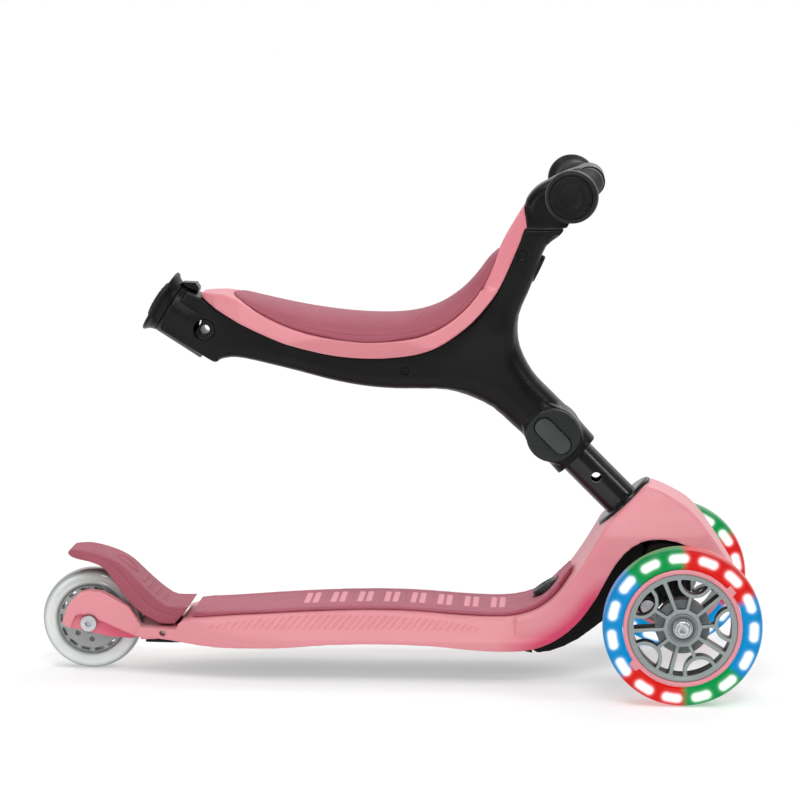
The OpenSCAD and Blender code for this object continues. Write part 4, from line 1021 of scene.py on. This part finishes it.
col_prof = fillet([(14.35, -6), (16.6, -6), (17.0, -3.4), (21.2, -3.4), (23.9, -2.4), (24.3, -0.4), (23.2, 1.3), (20.8, 1.9), (17.6, 1.9), (16.4, 2.0), (14.35, 1.9)],
                  [0, 0.3, 0.4, 1.0, 1.8, 1.8, 1.8, 1.0, 0.6, 0.6, 0.3], 5)
o = lathe("stem_collar", col_prof, stem(0), STEM_DIR, 128, tongue)
finish_piece(o, "deck", "gloss", ["head_collar"], sharp=45)

t32 = math.radians(32)
LOCK, LOCK_N = (121.5, 0, 63), (-math.sin(t32), 0, math.cos(t32))
o = lathe("lock_bezel_ring", fillet([(11.6, -8), (13.0, -8), (13.0, 0.4), (12.6, 1.7), (11.9, 1.7), (11.6, 0.8)], [0, 0, 0.3, 0.3, 0.2, 0.2], 3), LOCK, LOCK_N, 96)
finish_piece(o, "deck", "black", ["lock_bezel"], sharp=45)
bp = [(0, -7), (4, -7), (4, 4.4), (11.0, 4.4), (11.3, 4.8), (11.3, 7.4), (10.9, 8.0), (10.1, 8.6), (9.4, 8.6), (9.0, 8.1), (8.5, 7.95), (7.4, 7.95), (7.0, 8.3), (6.6, 8.7), (5.6, 8.75),
      (5.2, 8.3), (4.7, 8.1), (4.2, 8.1), (3.8, 8.5), (2.4, 8.75), (1.6, 8.5), (1.4, 8.0), (0, 7.9)]


def knurl(r, h, a):
    # small finger notches round the rim
    return (r - 0.28 * (0.5 + 0.5 * math.cos(24 * a)) ** 3, h) if r > 11.1 and h > 4.6 else (r, h)


o = lathe("steering_lock_cap", bp, LOCK, LOCK_N, 144, knurl)
finish_piece(o, "steering_lock", "disc", ["steering_lock_button"], sharp=50)

# ---------------------------------------------------------------- ride frame
core_low = [(-184, 272), (-162, 258.5), (-143, 246), (-138, 248), (-129, 250), (-118, 249), (-100, 245), (-75, 239), (-50, 232.5), (-25, 228),
            (0, 226), (30, 226), (48, 223), (62, 218), (76, 211), (90, 198.5), (104, 186)]
core_front = [(119, 226), (110, 235), (103, 245), (97, 258), (95, 270), (96, 284), (101, 297), (106, 309), (112, 326), (117, 338), (126, 345), (131, 351)]
core_rider = [(100, 351), (97, 342), (92, 330), (86, 316), (79, 302), (70, 290), (60, 279), (48, 269.5), (35, 261.5), (18, 255), (0, 252), (-20, 251), (-45, 253),
              (-70, 259), (-95, 267.5), (-120, 278), (-140, 288.5), (-152, 297), (-163, 302)]
core_lines = [np.vstack([smooth_curve(core_front, 4)[::-1][4:], [(136.5, 208.5), (155.5, 187.5)]]), np.vstack([smooth_curve(core_low, 4), [(127.5, 159.5)]])]


def core_zone(a):
    hub = np.clip((np.hypot(a[:, 0] - HUB[0], a[:, 2] - HUB[1]) - 21.5) / 5, 0, 1)
    back = np.clip((a[:, 0] + 162) / 34, 0, 1)
    rider_d, _, _ = line_distance(a[:, [0, 2]], smooth_curve(core_rider, 3))
    btn = np.clip((np.linalg.norm(a - np.array((109.0, 0, 320.0)), axis=1) - 12.5) / 3, 0, 1)
    top = np.clip((350 - a[:, 2]) / 6, 0, 1)
    return hub * back * np.clip((rider_d - 1.5) / 3, 0, 1) * (np.abs(a[:, 1]) < 19.7) * btn * top


JOINT = (79.0, 270.0)


def core_arm(a):
    """How much a point belongs to the rounder lower arm, between the joint of the Y and the hub disc."""
    along = (a[:, 0] - JOINT[0]) * 0.70711 - (a[:, 2] - JOINT[1]) * 0.70711
    return np.clip((along + 6) / 26, 0, 1) * (a[:, 0] > 20) * (a[:, 2] < 300)


def core_shape(co, nrm):
    """The round seat end runs out smoothly into the flat sides, and the sides belly a little at the joint of the Y."""
    a = co * 1000
    along = (a[:, 0] + 186.5) * 0.8434 - (a[:, 2] - 294) * 0.5373
    hole = np.hypot(a[:, 0] + 149, a[:, 2] - 272)
    over = np.maximum(np.abs(a[:, 1]) - 18.95, 0)
    keep = (hole < 9.6) & (np.abs(a[:, 1]) < 18)
    a[:, 1] -= np.sign(a[:, 1]) * over * step(along, 24, 51) * ~keep * (a[:, 0] < -118)
    arm = core_arm(a)
    a = rounded_sides(core_lines, 19, 9.5, lambda p: core_zone(p) * (1 - arm))(a / 1000, nrm) * 1000
    a = rounded_sides(core_lines, 19, 16.0, lambda p: core_zone(p) * arm)(a / 1000, nrm) * 1000
    d = np.hypot(a[:, 0] - JOINT[0], a[:, 2] - JOINT[1])
    m = np.abs(a[:, 1]) > 12
    a[:, 1] += np.sign(a[:, 1]) * m * 2.2 * np.exp(-(d / 15.0) ** 2)
    return a / 1000


core = remade("frame_core_skin", "frame_core", 0.8, smooth=3, shape=core_shape, post=8)
finish_piece(core, "ride_frame", "black", ["frame_core"])


trim = remade("frame_trim_skin", "frame_trim", 0.8, smooth=8)
a = coords(trim.data) * 1000
top_d, _, _ = line_distance(a[:, [0, 2]], smooth_curve([(100, 370), (89, 352), (82, 339), (77, 326), (71, 313), (63, 299), (52, 287), (40, 278), (25, 271), (8, 267.5), (-15, 266),
                                                        (-40, 267.5), (-65, 272), (-88, 279.5), (-108, 289), (-121, 297.5)], 3))
low_d, _, _ = line_distance(a[:, [0, 2]], smooth_curve(core_rider, 3))
outer = np.clip((np.abs(a[:, 1]) - 19.6) / 2.5, 0, 1)
weight = np.maximum(outer * np.clip((low_d - 0.8) / 5, 0.5, 1) * np.clip(top_d / 2.5, 0.4, 1), 0.12)
relax(trim, weight, 64)
a = coords(trim.data) * 1000
# painted shade: the pink darkens towards the upper arm, with a faint wash of it everywhere
float_attr(trim, "deep", 0.17 * step(a[:, 2], 292, 318) + 0.04)
finish_piece(trim, "ride_frame", "pink", ["frame_trim"])


SEAT_LOW = [(-127, 300.4), (-121, 297.9), (-108, 289.5), (-88, 280.0), (-65, 272.5), (-40, 268.0), (-15, 266.5), (8, 268.0), (25, 271.5), (40, 278.5), (52, 287.5), (63, 299.5), (71, 313.5), (78, 328.5), (80.5, 334.6)]
SEAT_TOP = [(-126.6, 301.0), (-119, 300.6), (-103, 297.2), (-82, 292.6), (-60, 288.8), (-37, 286.0), (-14, 284.8), (5, 285.4), (20, 287.9), (33, 292.4), (43, 298.0), (53, 305.6), (63, 316.2), (72.6, 328.8), (79.4, 335.0)]
SEAT_HALF = [4, 26, 36.5, 44.6, 48.2, 49.8, 49.6, 46.3, 41.5, 35.5, 30.2, 26, 23.3, 21, 19]


def seat_cushion():
    low, top = smooth_curve(SEAT_LOW, 6), smooth_curve(SEAT_TOP, 6)
    half = smooth_curve([(h, 0) for h in SEAT_HALF], 6)[:, 0]
    side = [(0, 0), (0.3, 0), (0.6, 0), (0.86, 0), (0.955, 0.0), (0.985, 0.02), (0.998, 0.08), (1.0, 0.15), (0.996, 0.215), (0.984, 0.25), (0.974, 0.252), (0.970, 0.232), (0.962, 0.25)]
    n = 22
    for k in range(n + 1):
        v = 0.955 * (1 - k / n) ** 0.9 if k < n else 0.0
        side.append((v, 0.275 + 0.725 * max(1 - (v / 0.958) ** 2.35, 0) ** 0.62))
    section = side + [(-v, k) for v, k in reversed(side[1:-1])]
    verts, faces = [], []
    m = len(section)
    for i in range(len(low)):
        f = i / (len(low) - 1)
        for v, k in section:
            p = low[i] + (top[i] - low[i]) * k
            verts.append((p[0] * MM, half[i] * v * MM, p[1] * MM))
    for i in range(len(low) - 1):
        for k in range(m):
            a, b = i * m, (i + 1) * m
            faces.append((a + k, b + k, b + (k + 1) % m, a + (k + 1) % m))
    faces += [tuple(range(m)), tuple((len(low) - 1) * m + k for k in range(m - 1, -1, -1))]
    o = mesh_obj("seat_cushion", verts, faces)
    s = o.modifiers.new("s", "SUBSURF")
    s.levels = s.render_levels = 2
    applied(o)
    a, nrm = coords(o.data) * 1000, normals(o.data)
    x, y, z = a.T
    top_f = step(nrm[:, 2] - 0.6 * nrm[:, 0] * (x > 40), 0.45, 0.8) * (1 - step(np.abs(y), 40, 46))
    bend = x + 0.011 * y ** 2
    lines = np.zeros(len(a))
    for c in (-92, -68, -44, -20, 4, 28):
        lines = np.maximum(lines, np.clip(1 - np.abs(bend - c) / 0.9, 0, 1))
    edge_in = step(np.interp(x, [-127, -108, -65, -15, 25, 52, 80], [3, 36, 48, 49.6, 41.5, 30, 19]) - np.abs(y), 9, 12)
    a -= nrm * (0.62 * top_f * lines * edge_in)[:, None]
    # the skirt swells out to meet the surround
    a += nrm * (0.45 * (1 - step(nrm[:, 2], 0.2, 0.6)))[:, None]
    set_coords(o.data, a / 1000)
    return o


pad = seat_cushion()
finish_piece(pad, "ride_frame", "seat", ["seat_pad"])

# hub discs and the height button
o = remade("near_hub_cap", "near_hub_disc", 0.4, smooth=4)
finish_piece(o, "ride_frame", "disc", ["near_hub_disc"])
o = remade("far_hub_cap", "far_hub_disc", 0.45, smooth=3)
finish_piece(o, "ride_frame", "disc", ["far_hub_disc"])


def button_crown(co, nrm):
    a = co * 1000
    s = (-(a[:, 0] - HUB[0]) + (a[:, 2] - HUB[1])) * S45
    t = ((a[:, 0] - HUB[0]) + (a[:, 2] - HUB[1])) * S45
    e = np.clip(1 - (t / 7) ** 2, 0, 1) * np.clip(1 - (s / 16.5) ** 4, 0, 1)
    face = step(-nrm[:, 1], 0.6, 0.9)
    a[:, 1] += face * (0.9 - 1.1 * e)
    return a / 1000


o = remade("height_button_cap", "height_lock_button", 0.32, smooth=8, after=button_crown)
finish_piece(o, "height_lock", "button", ["height_lock_button"])

# seat end
SO = np.array((-186.5, 0, 294.0))
SA = math.radians(122.5)
SD = np.array((math.sin(SA), 0, math.cos(SA)))
cap_prof = fillet([(16.95, 0.1), (25.0, 0.2), (26.2, 1.2), (25.6, 3.0), (23.4, 4.8), (22.0, 7.6), (21.5, 9.9), (16.95, 9.9)], [0.5, 0.5, 0.9, 0.8, 1.4, 1.2, 0.2, 0], 4)
o = lathe("seat_end_collar", cap_prof, SO, SD, 128)
finish_piece(o, "ride_frame", "black", ["seat_end_cap"], sharp=45)
o = remade("seat_end_plug", "seat_end_insert", 0.42, smooth=3)
finish_piece(o, "ride_frame", "black_dull", ["seat_end_insert"])
o = remade("seat_end_latch", "seat_end_clip", 0.4, smooth=5)
finish_piece(o, "ride_frame", "black", ["seat_end_clip"])

# ---------------------------------------------------------------- handlebar
house_pts = [(104, 352.4), (102.2, 357), (101, 362), (100, 368), (101.4, 374), (105.4, 380), (111, 385), (118, 389), (130, 395), (144, 399.5),
             (155, 398), (160.5, 391), (158, 381), (148, 372), (140, 362), (132.5, 352.4)]
house_line = smooth_curve(house_pts, 4)
def house_shape(co, nrm):
    """Rounded clamp whose lower rear corner closes on the tip of the seat surround."""
    a = house_rounding(co, nrm) * 1000
    low = np.clip((359 - a[:, 2]) / 5, 0, 1) * np.clip((109 - a[:, 0]) / 5, 0, 1)
    a[:, 0] -= 2.2 * low
    a[:, 0] = np.maximum(a[:, 0], 100.4)
    return a / 1000


house_rounding = (rounded_sides([house_line], 20, 8.5, lambda a: (np.hypot(a[:, 0] - 150, a[:, 2] - 389) > 13.5) * np.clip((a[:, 2] - 354) / 5, 0, 1) * np.clip((a[:, 0] + 0.9 * (a[:, 2] - 352) - 110) / 10, 0, 1)))
house = remade("handlebar_clamp", "handlebar_housing", 0.6, smooth=3, shape=house_shape, post=6)
finish_piece(house, "ride_frame", "black", ["handlebar_housing"])


def grip_mod(side):
    def f(r, h, a):
        if 8 < h < 90 and r > 11.0:
            k = step(np.array(h), 8, 14) * (1 - step(np.array(h), 84, 90))
            ph = h / 2.3 + 0.7 * math.sin(a * 2 + 0.03 * h) + 0.3 * math.sin(3 * a)
            return r + 0.42 * float(k) * math.sin(2 * math.pi * ph), h
        return r, h
    return f


for m, w in ((1, "left"), (-1, "right")):
    b0 = np.array((150, m * 36, 389.0))
    b1 = np.array((135.7, m * 145, 383.0))
    d = (b1 - b0) / np.linalg.norm(b1 - b0)
    outer = [(10.9, 4.0), (11.4, 5.4)]
    hs = np.arange(7, 92, 0.42)
    rs = np.interp(hs, [7, 30, 58, 82, 88, 92], [11.5, 11.5, 12.3, 11.95, 12.5, 13.5])
    outer += list(zip(rs, hs))
    outer += fillet([(13.5, 92.3), (14.6, 96.4), (17.4, 99.4), (19.5, 101.6), (19.5, 107.0), (17.9, 109.2), (16.1, 109.0), (15.9, 108.2)], [0, 2.5, 1.6, 2.6, 3.0, 1.2, 0.4, 0], 6, closed=False)
    outer += [(15.0, 108.6), (9.03, 108.6), (9.03, 4.0)]
    o = lathe(w + "_grip_sleeve", outer, b0, d, 96, grip_mod(m))
    finish_piece(o, "ride_frame", "grip", [w + "_grip"], sharp=60)

    def notch(r, h, a):
        if r > 13.6 and h > 109.2 and abs(((a - math.radians(60)) + math.pi) % (2 * math.pi) - math.pi) < 0.22:
            return r - 1.6, h - 0.9
        return r, h
    plug = fillet([(0, 104.2), (8.8, 104.2), (8.8, 107.6), (15.8, 107.6), (15.8, 109.3), (15.3, 109.9), (14.4, 110.1), (12.6, 109.9), (9.6, 109.7), (9.2, 110.2), (8.6, 110.35), (7.6, 110.1), (5.0, 109.8), (0, 109.7)],
                  [0, 0, 0, 0.2, 0.4, 0.5, 0.6, 0.4, 0.3, 0.3, 0.3, 0.4, 0.6, 0], 3, closed=False)
    o = lathe(w + "_grip_end", plug, b0, d, 128, notch)
    finish_piece(o, "ride_frame", "black", [w + "_end_plug"], sharp=50)

t58 = math.radians(116)
bprof = [(0, -8), (5, -8), (5, 0), (10.8, 0), (11.2, 0.4), (11.2, 2.4), (10.9, 3.0), (10.2, 3.3), (9.2, 3.2), (8.4, 2.8), (6.0, 2.5), (0, 2.3)]
o = lathe("handlebar_release_cap", bprof, (108.9, 0, 320.4), (math.sin(t58), 0, math.cos(t58)), 96)
finish_piece(o, "handlebar_release", "black", ["handlebar_button"], sharp=50)
o = remade("handlebar_latch", "handlebar_catch", 0.35, smooth=4)
finish_piece(o, "ride_frame", "gloss", ["handlebar_catch"])

# ---------------------------------------------------------------- CAD parts that stay, with real finishes
def banded_bearing(name, cx, cz):
    """Bearing steel with the dark gaps of its seals and races, drawn by radius from the axle."""
    k = Mat(name)
    x, y, z = k.xyz()
    dx, dz = k.math("SUBTRACT", x, cx), k.math("SUBTRACT", z, cz)
    rad = k.math("SQRT", k.math("ADD", k.math("MULTIPLY", dx, dx), k.math("MULTIPLY", dz, dz)))
    ramp = k.n("ShaderNodeValToRGB")
    els = ramp.color_ramp.elements
    stops = [(0.0, (150, 156, 158)), (0.60, (172, 178, 180)), (0.66, (176, 182, 184)), (0.69, (30, 32, 33)), (0.72, (30, 32, 33)), (0.75, (104, 110, 111)), (0.86, (118, 124, 125)), (0.88, (46, 49, 50)), (0.905, (150, 156, 157)), (0.96, (138, 144, 145)), (1.0, (24, 26, 27))]
    while len(els) < len(stops):
        els.new(0.5)
    for e, (p, c) in zip(els, stops):
        e.position = p
    for e, (p, c) in zip(els, stops):
        e.color = lin(*c)
    k.link(k.math("DIVIDE", rad, 0.0112), ramp.inputs["Fac"])
    stain = k.span(k.noise(180, 5, 0.65), 0.35, 0.7, 0, 0.25)
    col = k.mix(stain, ramp.outputs["Color"], lin(60, 64, 66))
    r = k.span(k.noise(420, 3, 0.7), 0.3, 0.7, 0.24, 0.4)
    return k.out(col, r, k.bump(k.noise(900, 3), 0.12, 0.0002), Metallic=0.7)


M["bearing_f"] = banded_bearing("front_bearing_steel", FX, FZ)
M["bearing_r"] = banded_bearing("rear_bearing_steel", RX, RZ)
KEEP = {"stem_tube": "tube", "stem_socket": "black_dull", "stem_bolt": "steel", "kingpin": "steel", "kingpin_washer": "steel", "pivot_cross_bolt": "steel",
        "steering_bushings": "rubber", "deck_screws": "steel", "rear_axle_bolt": "steel", "rear_axle_nut": "steel", "brake_pin": "steel", "brake_pad": "steel",
        "brake_spring": "steel", "rear_bearings": "bearing_r", "left_light_ring": "lamp", "right_light_ring": "lamp",
        "left_bearings": "bearing_f", "right_bearings": "bearing_f", "left_generator_ring": "magnet", "right_generator_ring": "magnet", "slider_bush": "white",
        "frame_screws": "dark_steel", "handlebar_tube": "black_dull", "height_lock_yoke": "steel", "height_lock_spring": "steel"}
for node, key in KEEP.items():
    o = N[node]
    for s in o.material_slots:
        s.material = M[key]
    if not len(o.material_slots):
        print("no slot on", node)
